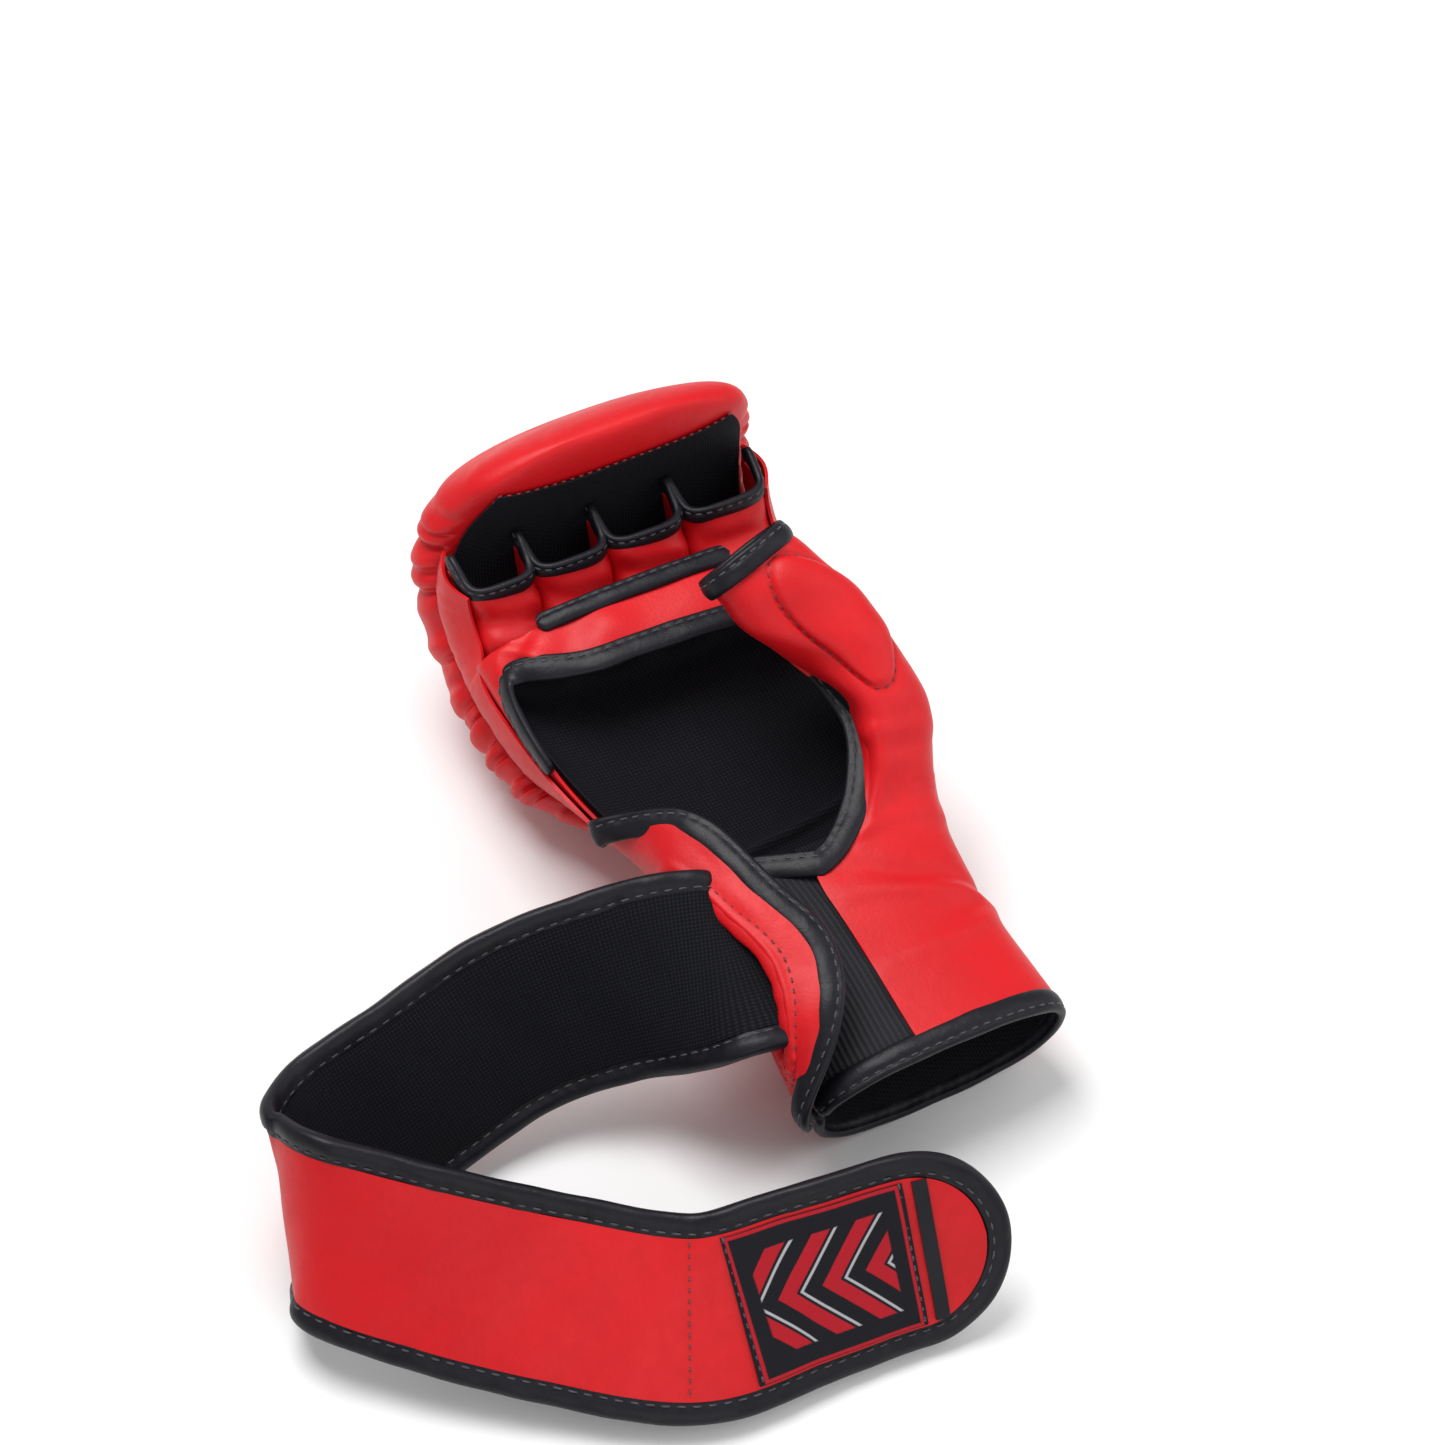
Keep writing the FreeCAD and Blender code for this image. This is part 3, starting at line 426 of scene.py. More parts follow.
def thread(name, colour):
    """Twisted sewing thread: slanted ridges from a wave, with a painted highlight along their tops and painted shade in
    the grooves between.
    """
    made = Finish(name, Roughness=0.62, Sheen_Weight=0.2)
    where = made.place()
    twist = made.node("ShaderNodeTexWave", {"bands_direction": "DIAGONAL"},
                      {"Vector": where, "Scale": 420.0, "Distortion": 1.5})
    # Painted shade and highlight: the grooves between the twist ridges get 0.45 of the thread's colour, the ridge tops
    # its full colour.
    dark = tuple(0.45 * k for k in colour[:3]) + (1,)
    made.show(Base_Color=made.mix(twist, dark, colour))
    made.relief((twist, 0.6, 0.0002))
    return made.material


RED_THREAD = thread("red_thread", (0.30, 0.004, 0.007, 1))
GREY_THREAD = thread("grey_thread", (0.060, 0.060, 0.075, 1))

LINING_RIM = 13.0            # the red front rim left bare beyond the lining
lining_s = np.linspace(60.0, PAD_LENGTH - LINING_RIM, 110)


def lining_point(s, across, lift):
    """On the pad's inner face: across runs -1 to 1 over the inner part of the pad's section."""
    s, across, lift = np.broadcast_arrays(s, across, lift)
    reach = 47 + 8 * ease(s, 90, 130)
    _, _, ny, nd = pad_line(s)
    return pad_point(s, 270 + across * reach, folded=False) - lift[..., None] * np.stack([0 * ny, ny, nd], -1)


share = np.linspace(-1, 1, 90)
wrinkle = 0.35 * np.sin(lining_s[:, None] / 9 + 2.0 * share[None]) * np.sin(share[None] * 7)
curl = skin("finger_lining_fleece", placed(lining_point(lining_s[:, None], share[None], 1.1 + wrinkle)), FLEECE,
            thick=KNIT_THICK)
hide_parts("finger_lining", "tip_lining")
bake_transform(curl)

rim_share = np.concatenate([np.full(60, -1.0), np.linspace(-1, 1, 200)[1:-1], np.full(60, 1.0)])
rim_s = np.concatenate([np.linspace(112, PAD_LENGTH - LINING_RIM, 60), np.full(198, PAD_LENGTH - LINING_RIM),
                        np.linspace(PAD_LENGTH - LINING_RIM, 112, 60)])
rim_line = lining_point(rim_s, rim_share * 0.99, 1.5)
rim_up = -np.stack([rim_s * 0, pad_line(rim_s)[2], pad_line(rim_s)[3]], -1)
dots = stitches("rim_stitches", rim_line, rim_up, RED_THREAD, length=1.6, pitch=3.4, radius=0.38)
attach(dots, "fingers")

# ---------------------------------------------------------------- palm lining
# Black mesh knit inside the hand: it covers the back of the hand and both side walls, and is what shows
# through the open palm. A crease runs across it where the wrist begins.


def tube(y, angle, offset):
    """Inside of the glove: half widths and depths from the hem to the knuckles, as a rounded-square section.
    angle is 0 thumb side, 90 palm, 180 little finger side, 270 back; offset moves out of the hand."""
    y, angle, offset = np.broadcast_arrays(*(np.asarray(k, float) for k in (y, angle, offset)))
    centre = curve(y, [(0, 2), (60, 0), (150, -9), (199, -12)])
    half = curve(y, [(0, 46), (60, 43), (150, 59), (199, 63)])
    back = curve(y, [(0, 26), (60, 19), (150, 14.5), (199, 16)])
    palm = curve(y, [(0, 21), (60, 16.5), (150, 14), (199, 15)])
    c, s = np.cos(np.radians(angle)), np.sin(np.radians(angle))
    depth = np.where(s > 0, palm, back)
    return np.stack([centre + (half + offset) * power(c, 0.8), y, (depth + offset) * power(s, 0.8)], -1)


def out_of_hand(angle):
    """Unit direction out of that section at an angle: (cos, 0, sin)."""
    return np.stack([np.cos(np.radians(angle)), 0 * angle, np.sin(np.radians(angle))], -1)


inside_y = np.linspace(22, 197, 150)
inside_angle = np.linspace(182, 350, 150)
across = (inside_angle[None] - 182) / 168
slump = (2.6 * hump(inside_y[:, None] - 20 * across, 92, 2.2) - 2.0 * ease(inside_y[:, None] - 20 * across, 93, 97)
         * (1 - ease(inside_y[:, None], 120, 190)) + 0.5 * np.sin(inside_y[:, None] / 14 + 5 * across))
palm_knit = skin("hand_lining_knit", placed(tube(inside_y[:, None], inside_angle[None], -2.2 - slump * np.sin(
    np.pi * across) ** 0.5)), MESH_KNIT, thick=KNIT_THICK)
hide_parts("hand_lining")
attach(palm_knit, "hand")

# ---------------------------------------------------------------- wrist
# The cuff: red leather over thin foam round the back of the wrist, lined in black, hemmed with folded tape.
# It is a stiff sleeve that springs open when the strap is undone.


def soft(y, angle, size):
    """Slow unevenness of leather over foam: three crossing waves."""
    return size * (np.sin(y / 11 + angle / 37) + np.sin(y / 6.3 - angle / 21 + 1) * 0.5 + np.sin(angle / 13) * 0.5)


wrist_y, wrist_angle = np.linspace(0, 124, 110), np.linspace(177, 357, 130)
wrist = skin("wrist_back_cover", placed(tube(wrist_y[:, None], wrist_angle[None], 1.3 + soft(
    wrist_y[:, None], wrist_angle[None], 0.35))), RED, thick=LEATHER_THICK)
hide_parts("wrist_back_panel", "wrist_back_foam")
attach(wrist, "hand")

sleeve_y, sleeve_angle = np.linspace(-0.5, 84, 80), np.linspace(175, 457, 150)
sleeve = skin("wrist_lining_fleece", placed(tube(sleeve_y[:, None], sleeve_angle[None], -1.5 - soft(
    sleeve_y[:, None], sleeve_angle[None], 0.3))), FLEECE, thick=KNIT_THICK)
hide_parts("wrist_back_lining", "thumb_side_lining")
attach(sleeve, "hand")

# ---------------------------------------------------------------- binding tape
# Black synthetic leather tape folded over every raw edge and sewn through near its inner edge with one
# line of grey thread; each stitch pulls the tape in a little.


def tape_leather():
    """Smooth black tape with a faint blue sheen, fine grain and small creases across it."""
    made = Finish("black_tape", Specular_IOR_Level=0.24)
    where = made.place()
    drift = made.noise(where, 60, 3, 0.6)
    grain = made.node("ShaderNodeTexVoronoi", {"feature": "SMOOTH_F1"}, {"Vector": where, "Scale": 1300.0})
    made.show(Base_Color=made.mix(drift, (0.0042, 0.004, 0.0065, 1), (0.0100, 0.0092, 0.0145, 1)),
              Roughness=drift * 0.2 + 0.32)
    creases = made.noise(where, 260, 2, 0.5, 0.8)
    made.relief((creases, 0.35, 0.0004), (grain, 0.3, 0.00012))
    return made.material


TAPE_FINISH = tape_leather()


def evenly(line, step, *others):
    """Points of a line at equal distances of about step, with other values along it read at the same places."""
    run = np.append(0, np.cumsum(np.linalg.norm(np.diff(line, axis=0), axis=1)))
    at = np.linspace(0, run[-1], max(int(run[-1] / step), 8) + 1)
    read = [np.stack([np.interp(at, run, values[:, k]) for k in range(values.shape[1])], -1)
            for values in (line, *others)]
    return at, read


def tape(name, line, face, width, height, seam, closed=False, pitch=4.6, row=False, both=False, end_round=3.0,
         step=0.9, phase=0.0):
    """Folded tape along a line in millimetres: a flattened oval section, width across the edge and height through
    it, thinner along its sewn line and pinched at each stitch. face is the direction its flat side looks.
    The section's long axis is face x direction of travel; seam is the sewn line's place across it, -1 to 1.
    both: thread on both faces. Gives the tape, then its threads."""
    at, (line, face) = evenly(np.asarray(line, float), step, np.asarray(face, float))
    ahead = (np.roll(line, -1, 0) - np.roll(line, 1, 0)) if closed else np.gradient(line, axis=0)
    if closed:
        ahead[0], ahead[-1] = line[1] - line[-2], line[1] - line[-2]
    ahead /= np.linalg.norm(ahead, axis=1, keepdims=True)
    up = face - ahead * np.sum(face * ahead, 1, keepdims=True)
    up /= np.linalg.norm(up, axis=1, keepdims=True)
    side = np.cross(up, ahead)
    phi = np.linspace(0, 2 * math.pi, 29)[:-1]
    c, q = power(np.cos(phi), 0.75)[None], power(np.sin(phi), 0.7)[None]
    along = at[:, None] + phase
    pinch = 0.5 + 0.5 * np.cos(2 * np.pi * (along - pitch / 2) / pitch)
    groove = hump(c, seam, 0.16) * (0.22 + 0.16 * pinch)
    uneven = 1 + 0.05 * np.sin(along / 5.1) + 0.04 * np.sin(along / 2.3 + c * 2)
    shut = 1.0
    if end_round and not closed:
        left = np.minimum(at, at[-1] - at)[:, None]
        shut = np.sqrt(np.clip(1 - (1 - np.clip(left / end_round, 0, 1)) ** 2, 0.02, 1))
    fat = (1 - groove) * uneven * (0.75 + 0.25 * shut) * (1 - 0.22 * np.clip(-c, 0, 1) ** 2)
    grid = (line[:, None] + side[:, None] * (c * width / 2 * shut * (1 + 0.02 * np.sin(along / 3.7)))[..., None]
            + up[:, None] * (q * height / 2 * fat)[..., None])
    if closed:
        grid = np.concatenate([grid[:-1], grid[:1]])
    made = skin(name, grid / 1000 if row else placed(grid), TAPE_FINISH, around=True, crease=70)
    sealed(made)
    sewn = line + side * (seam * width / 2)
    level = height / 2 * 0.86 * 0.9
    pieces = [made]
    for tag, sign in (("front", 1), ("rear", -1))[:2 if both else 1]:
        pieces.append(stitches(f"{name}_thread_{tag}", sewn + up * sign * level, up * sign, GREY_THREAD,
                               length=pitch * 0.62, pitch=pitch, radius=0.36, sink=0.02, row=row))
    return pieces


def sewn_on(pieces, body, node):
    """The tape stands for a node, and it and its threads ride on a body."""
    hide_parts(node)
    for piece in pieces:
        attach(piece, body)


hem_angle = np.linspace(177, 533, 280)
hem_line = tube(0.0, hem_angle, 0.2) + np.array([0, -1.5, 0])
sewn_on(tape("cuff_hem_tape", hem_line, out_of_hand(hem_angle), width=9, height=4.2, seam=0.5),
        "hand", "cuff_hem_binding")

# ---------------------------------------------------------------- palm band and side walls
# One piece of red leather runs across the roots of the fingers and down the little finger's side to the
# pad's seam, drawn up into puckers above the open palm.


def band_low(angle):
    """Lower edge of the band: rising towards the little finger, and rounding down into the side wall."""
    return curve(angle, [(20, 176), (65, 176), (100, 178.5), (112, 179), (126, 182.5), (140, 187), (151, 188.5),
                         (160, 186), (167, 179), (172, 168), (177, 157), (184, 143), (196, 124), (240, 121)])


def band_point(angle, share, lift=0.0):
    """On the band: share 0 at its lower edge to 1 at the fingers, bulged as a half sine, with bell-shaped puckers
    that fade out at both edges."""
    low = band_low(angle)
    high = 200.5 + 3 * ease(angle, 165, 200)
    y = low + (high - low) * share
    pucker = (0.9 * np.sin(angle / 4.1 + 3 * share) * hump(angle, 120, 34)
              + 1.6 * hump(angle - 16 * share, 128, 7) - 1.3 * hump(angle + 10 * share, 146, 8)
              + 0.8 * hump(angle - 9 * share, 96, 6)) * np.sin(np.pi * np.clip(share, 0, 1)) ** 0.6
    bulge = 1.2 * np.sin(np.pi * np.clip(share, 0, 1))
    return tube(y, angle, 0.8 + bulge + pucker + lift)


band_angle, band_share = np.linspace(20, 236, 240), np.linspace(0, 1, 60)
band = skin("palm_band_leather", placed(band_point(band_angle[None], band_share[:, None])), RED, thick=LEATHER_THICK)
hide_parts("palm_band", "little_edge_wall")
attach(band, "hand")

thumb_wall_y, thumb_wall_angle = np.linspace(106, 200, 70), np.linspace(-58, 32, 60)
thumb_wall = skin("thumb_edge_wall_leather", placed(tube(thumb_wall_y[:, None], thumb_wall_angle[None], 1.0 + soft(
    thumb_wall_y[:, None], thumb_wall_angle[None], 0.3))), RED, thick=LEATHER_THICK)
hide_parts("thumb_edge_wall")
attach(thumb_wall, "hand")

grip_angle = np.linspace(62, 125, 90)
grip_line = band_point(grip_angle, 1.0, 0.2) + np.array([0, 0.5, 0.6])
sewn_on(tape("grip_tape", grip_line, out_of_hand(grip_angle), width=8, height=4.2, seam=-0.5), "hand", "grip_binding")

arc = np.concatenate([np.linspace(40, 150, 110), np.linspace(150, 180, 70)[1:]])
top_line = band_point(arc, 0.02, 0.6)
sewn_on(tape("palm_opening_tape", top_line, out_of_hand(arc), width=9.5, height=3.8, seam=-0.5),
        "hand", "palm_opening_binding")

# ---------------------------------------------------------------- finger stalls
# Four short red tunnels sewn to the lining, one for each finger, their mouths bound in black tape.
# Each is a U of leather over the finger's front; neighbours share the seam between them.

STALLS = {"little": (-58.0, 12.8), "ring": (-30.6, 14.2), "middle": (-1.2, 14.8), "index": (31.0, 16.2)}
CURL_Y, CURL_D = 199.0, 22.7


def stall_point(x, half, turn, share, lift=0.0):
    """U section: share 0 to 1 goes up one leg, over a rounded top and down the other; turn is degrees of curl."""
    phi = math.pi * (1 - share)
    wide = half + lift
    sag = 1.0 * np.sin(np.radians(turn) * 9 + share * 5) * np.sin(np.pi * share)
    r = 38.8 - (20.5 + lift - sag * 0.6) * np.clip(np.sin(phi), 0, 1) ** 0.42
    t = np.radians(turn)
    return np.stack([x + wide * power(np.cos(phi), 0.62) + 0 * t, CURL_Y + r * np.sin(t), CURL_D - r * np.cos(t)], -1)


stall_turn, stall_share = np.linspace(4, 73, 60), np.linspace(0, 1, 70)
for finger, (x, half) in STALLS.items():
    dent = 0.9 * np.sin(stall_turn[:, None] / 7.5 + x) * np.sin(2 * np.pi * stall_share[None] + x / 9)
    stall = skin(f"{finger}_stall_leather", placed(stall_point(x, half, stall_turn[:, None], stall_share[None],
                                                                dent * 0.6)), RED, thick=LEATHER_THICK)
    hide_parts(f"{finger}_stall")
    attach(stall, "fingers")
    loop = np.linspace(0.0, 1.0, 90)
    mouth_turn = 74.5 + 9 * (2 * np.abs(loop - 0.5)) ** 6
    mouth = stall_point(x, half, mouth_turn, loop, 0.2)
    outward = mouth - stall_point(x, half, mouth_turn, loop, -3)
    outward[:, 0] += np.sign(loop - 0.5) * 0.02
    sewn_on(tape(f"{finger}_stall_tape", mouth, outward, width=7.2, height=3.6, seam=0.5, pitch=4.0),
            "fingers", f"{finger}_stall_binding")

# ---------------------------------------------------------------- curl side panels
# Smooth red walls beside the outer fingers. Each joins the pad's gathered seam to the stall and the band.


def side_wall(sign, deep, share):
    """From the pad's seam (share 0) to the wall of the hand, and further on to the outer stall (share 1);
    deep is the distance along the pad, and the edge passes from the one to the other by a smooth step."""
    seam = pad_point(deep, 270 + sign * 60, 1.0)
    turn = np.clip((deep - HAND_LENGTH) / BEND, 0, 1.45)
    x, half = STALLS["index" if sign > 0 else "little"]
    stall = np.stack([x + sign * (half + 0.4) + 0 * turn, CURL_Y + 20.5 * np.sin(turn), CURL_D - 20.5 * np.cos(turn)],
                     -1)
    hand = tube(PAD_START + np.minimum(deep, HAND_LENGTH), -4.0 if sign > 0 else 184.0, 2.4)
    over = ease(deep, 64, 96)[..., None]
    bow = np.stack([sign * (2.0 + 2.0 * ease(deep, 64, 96)) * np.sin(np.pi * share), 0 * share, 0 * share], -1)
    return seam * (1 - share)[..., None] + (hand * (1 - over) + stall * over) * share[..., None] + bow


wall_deep, wall_share = np.linspace(7, 131, 130), np.linspace(0, 1, 34)
for name, sign in (("little_side_panel", -1), ("index_side_panel", 1)):
    deep, part = np.meshgrid(wall_deep, wall_share, indexing="ij")
    wall = skin(name + "_leather", placed(side_wall(sign, deep, part)), RED, thick=LEATHER_THICK)
    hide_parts(name)
    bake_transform(wall)

# ---------------------------------------------------------------- thumb
# One skin of red leather from the hem up the heel of the hand, closing into a tube round the thumb.
# An oval foam pad is quilted to the front of the thumb with red thread, and black tape binds its mouth.

THUMB_ROOT, THUMB_LENGTH = np.array([39.9, 99.0, 14.0]), 92.0
CUFF_SEAM = 98.0             # angle at which the skin's straight edge meets the elastic
CUFF_ARC = 106.0             # degrees of the cuff that the skin covers
THUMB_SEAM = 214.0           # angle at which the thumb's tube closes
AIM = np.array([-0.30, 0.86, 0.42]) / np.linalg.norm([-0.30, 0.86, 0.42])
ACROSS = np.array([1, 0, 0]) - AIM * AIM[0]
ACROSS /= np.linalg.norm(ACROSS)
OUT = np.cross(ACROSS, AIM)


def thumb_point(share, angle, lift=0.0):
    """Tube round the thumb: angle 0 outer side, 90 palm side, 180 finger side, 270 back."""
    share, angle, lift = np.broadcast_arrays(*(np.asarray(k, float) for k in (share, angle, lift)))
    c, s = power(np.cos(np.radians(angle)), 0.85), power(np.sin(np.radians(angle)), 0.85)
    outer = curve(share, [(-0.6, 21), (0, 19.5), (0.35, 19.8), (0.75, 20), (0.92, 18), (1, 15.8)])
    inner = curve(share, [(-0.6, 21), (0, 13), (0.25, 9.5), (0.45, 11), (0.62, 15), (0.8, 19), (0.92, 18), (1, 15.8)])
    half = np.where(c > 0, outer, inner)
    depth = 14 * (1 - 0.25 * share)
    sway = 5 * 4 * share * (1 - share)
    return (THUMB_ROOT + AIM * (THUMB_LENGTH * share)[..., None] + ACROSS * (sway + (half + lift) * c)[..., None]
            + OUT * ((depth + lift) * s)[..., None])


OVAL_SHARE, OVAL_ACROSS, OVAL_LONG, OVAL_WIDE = 0.60, 5.0, 29.5, 14.0


def oval_radius(share, angle):
    """Distance from the oval pad's middle in units of its outline: 1 on its sewn edge."""
    across = 19.5 * power(np.cos(np.radians(angle)), 0.85) - OVAL_ACROSS
    along = (share - OVAL_SHARE) * THUMB_LENGTH + across * 0.10
    rho = np.sqrt((along / OVAL_LONG) ** 2 + (across / OVAL_WIDE) ** 2)
    return np.where(np.sin(np.radians(angle)) > 0, rho, 3.0)


PALM_EDGE = [(0.36, (-6.5, 74, 17)), (0.42, (2, 77.5, 17.5)), (0.48, (12.5, 86, 18)), (0.54, (21, 97, 19)),
             (0.60, (27.5, 109, 20)), (0.66, (30, 121, 21)), (0.72, (28, 134, 23)), (0.78, (23.5, 147, 25)),
             (0.86, (15, 160, 28)), (1.0, (6, 178, 30))]


def palm_edge(v):
    """Left edge of the skin: straight up beside the elastic from the hem, then round the open palm."""
    free = np.stack([curve(v, [(at, place[k]) for at, place in PALM_EDGE]) for k in range(3)], -1)
    y = curve(v, [(0, 0), (0.36, 73)])
    straight = tube(y, CUFF_SEAM, 1.6 + 2.2 * hump(v, 0.5, 0.14))
    w = ease(v, 0.30, 0.40)[..., None]
    return straight * (1 - w) + free * w


def loose_skin(v, u):
    """v 0 hem to 1 thumb mouth, u 0 palm edge to 1 back edge. The cuff's arc turns into the closed thumb tube
    by a smooth step over the heel."""
    y = 104 * v / 0.55
    cuff_angle = CUFF_SEAM - CUFF_ARC * u
    cuff = tube(np.minimum(y, 112), cuff_angle, 1.4 + 0 * v)
    share = (v - 0.52) / 0.48
    angle = THUMB_SEAM - 360 * u
    stitched = oval_radius(share, angle)
    quilt = 3.6 * np.sqrt(np.clip(1 - stitched ** 2.6, 0, 1)) - 0.9 * hump(stitched, 1.0, 0.06)
    run, wave = share * THUMB_LENGTH, np.cos(np.radians(angle))
    crease = (0.8 * hump(run + 8 * wave, 12, 3.2) - 0.9 * hump(run + 7 * wave, 5, 3.5)) * (
        np.sin(np.radians(angle)) > 0)
    soft_waves = 0.45 * np.sin(share * 13 + angle / 31) + 0.35 * np.sin(share * 23 - angle / 19)
    thumb = thumb_point(share, angle, np.where(share > -0.1, quilt + soft_waves + crease * 0.8, 0.0))
    w = ease(v, 0.34, 0.66)[..., None]
    heel = 3.5 * ease(v, 0.12, 0.5) * (1 - ease(v, 0.5, 0.72)) * np.sin(np.pi * u)
    folds = (1.5 * hump(v + 0.10 * u, 0.30, 0.022) - 1.2 * hump(v + 0.13 * u, 0.345, 0.02)
             + 1.1 * hump(v - 0.07 * u, 0.145, 0.02) - 0.8 * hump(v - 0.05 * u, 0.19, 0.03)
             + 0.9 * hump(v + 0.05 * u, 0.44, 0.018)) * np.sin(np.pi * np.clip(u, 0, 1)) ** 0.7
    outward = out_of_hand(cuff_angle)
    return cuff * (1 - w) + thumb * w + outward * (heel + folds)[..., None]


def thumb_skin(v, u):
    """The loose skin, pulled onto its two sewn edges: the palm's tape and the cuff's seam at the back."""
    hold = (1 - ease(v, 0.64, 0.84)) * (1 - ease(u, 0.0, 0.34 + 0.10 * ease(v, 0.4, 0.6)))
    behind = (1 - ease(v, 0.56, 0.74)) * np.clip(1 - (1 - u) / 0.25, 0, 1) ** 2
    pull = palm_edge(v) - loose_skin(v, 0 * u)
    seat = tube(np.minimum(104 * v / 0.55, 140), -8.0, 1.2) - loose_skin(v, 0 * u + 1)
    return loose_skin(v, u) + pull * hold[..., None] + seat * behind[..., None]


v_steps, u_steps = np.meshgrid(np.linspace(0, 0.985, 240), np.linspace(0, 1, 170), indexing="ij")
heel = skin("thumb_leather", placed(thumb_skin(v_steps, u_steps)), RED, thick=LEATHER_TURNED, crease=75)
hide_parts("thumb_side_panel", "thumb_front_panel", "thumb_back_panel", "thumb_pad")
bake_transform(heel)

loop = np.linspace(0, 2 * math.pi, 241)
oval_c, oval_s = np.cos(loop), np.sin(loop)
oval_at = OVAL_ACROSS + OVAL_WIDE * oval_c
oval_share = OVAL_SHARE + (OVAL_LONG * oval_s - OVAL_WIDE * oval_c * 0.10) / THUMB_LENGTH
oval_angle = np.degrees(np.arccos(np.clip(power(oval_at / 19.8, 1 / 0.85), -1, 1)))
oval_v, oval_u = 0.52 + 0.48 * oval_share, (THUMB_SEAM - oval_angle) / 360
oval_line = thumb_skin(oval_v, oval_u)
oval_out = oval_line - thumb_point(oval_share, oval_angle, -6)
oval_out /= np.linalg.norm(oval_out, axis=1, keepdims=True)
quilting = stitches("thumb_pad_stitches", oval_line + oval_out * 0.5, oval_out, RED_THREAD, length=2.4, pitch=4.0,
                    radius=0.45)
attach(quilting, "thumb")

ring = np.linspace(0, 360, 121)
mouth = thumb_point(0.975, ring, 0.6)
sewn_on(tape("thumb_mouth_tape", mouth, mouth - thumb_point(0.975, ring, -2), width=8, height=4.0, seam=-0.5,
             closed=True), "thumb", "thumb_binding")

inner_share, inner_angle = np.linspace(0.22, 0.965, 60), np.linspace(0, 360, 91)[:-1]
inner = skin("thumb_lining_fleece", placed(thumb_point(inner_share[:, None], inner_angle[None], -1.9)), FLEECE,
             thick=KNIT_THICK, around=True)
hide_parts("thumb_lining")
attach(inner, "thumb")

edge_v = np.linspace(0.37, 0.80, 150)
tail = np.array([(-33, 86.5, 9), (-24, 82.5, 13), (-15, 78.5, 15.5)])
side_line = np.concatenate([tail, palm_edge(edge_v) + np.array([0, 0, 0.8])])
side_face = np.tile([-0.25, 0.0, 1.0], (len(side_line), 1))
sewn_on(tape("palm_side_tape", side_line, side_face, width=9.5, height=3.8, seam=0.5),
        "hand", "palm_side_binding")

# ---------------------------------------------------------------- closing flap
# The little-finger side of the cuff ends in a free flap: red leather lined in black, its edge bound in tape.
# A long slot with a rolled lip lets the strap through, and red thread runs round the slot.

FLAP_LOW, FLAP_HIGH = -4.0, 120.0


def flap_point(y, share, lift=0.0):
    """Across the flap: a chord from its sewn base to its free edge, bowed outwards as a parabola."""
    y, share, lift = np.broadcast_arrays(*(np.asarray(k, float) for k in (y, share, lift)))
    base = tube(y, 178.0, 2.1)
    reach = curve(y, [(-4, -7), (15, 12), (40, 20), (66, 15), (103, 13), (114, 3), (120, -8)])
    up = 33 * curve(y, [(-4, 0.42), (15, 0.94), (40, 1.0), (84, 0.94), (103, 0.82), (120, 0.36)])
    chord = np.stack([reach, 0 * y, up], -1)
    size = np.linalg.norm(chord, axis=-1)
    normal = np.stack([-chord[..., 2], 0 * y, chord[..., 0]], -1) / size[..., None]
    bow = size * curve(y, [(-4, 0.16), (22, 0.36), (84, 0.36), (120, 0.12)])
    slope = chord + normal * (4 * bow * (1 - 2 * share))[..., None]
    out = np.stack([-slope[..., 2], 0 * y, slope[..., 0]], -1)
    out /= np.linalg.norm(out, axis=-1, keepdims=True)
    return base + chord * share[..., None] + normal * (4 * bow * share * (1 - share))[..., None] + out * lift[..., None]


SLOT_Y, SLOT_HALF, SLOT_SHARE, SLOT_WIDE = 49.0, 38.0, 0.5, 0.15


def slot_outline(theta, grow=0.0):
    """Long oval in the flap's own (y, share) coordinates."""
    y = SLOT_Y + (SLOT_HALF + grow) * power(np.cos(theta), 0.8)
    return y, SLOT_SHARE + (SLOT_WIDE + grow / 46) * power(np.sin(theta), 0.8)


def flap_outline(theta):
    """Superellipse round the whole flap, met at the same angle as the slot's outline."""
    middle, half = (FLAP_LOW + FLAP_HIGH) / 2, (FLAP_HIGH - FLAP_LOW) / 2
    return middle + half * power(np.cos(theta), 0.42), 0.49 + 0.49 * power(np.sin(theta), 0.42)


theta = np.linspace(0, 2 * math.pi, 321)[:-1]
rho = np.linspace(0, 1, 34) ** 0.9
(y0, v0), (y1, v1) = slot_outline(theta, 0.6), flap_outline(theta)
flap_y = y0[None] * (1 - rho[:, None]) + y1[None] * rho[:, None]
flap_v = v0[None] * (1 - rho[:, None]) + v1[None] * rho[:, None]
ripple = (0.5 * np.sin(flap_y / 8.0) * np.sin(flap_v * 9) + 0.9 * hump(rho[:, None], 0.10, 0.10)) * (
    1 - ease(flap_v, 0.82, 0.94))
flap = skin("flap_leather", placed(flap_point(flap_y, flap_v, 1.6 + ripple)), RED, thick=-0.0011, around=True)
flap_back = skin("flap_lining_fleece", placed(flap_point(flap_y, flap_v, -1.0 + ripple)), FLEECE, thick=KNIT_THICK,
                 around=True)
for piece, node, finish_slot in ((flap, "flap_panel", "leather"), (flap_back, "flap_lining", "knit")):
    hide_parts(node)
    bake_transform(piece)

edge_y, edge_share = flap_outline(np.radians(np.linspace(187, -7, 500)))
edge_line = flap_point(edge_y, edge_share, 0.0)
edge_face = flap_point(edge_y, edge_share, 2.0) - edge_line
sewn_on(tape("flap_edge_tape", edge_line, edge_face, width=9.5, height=4.2, seam=-0.5, both=True),
        "flap", "flap_binding")

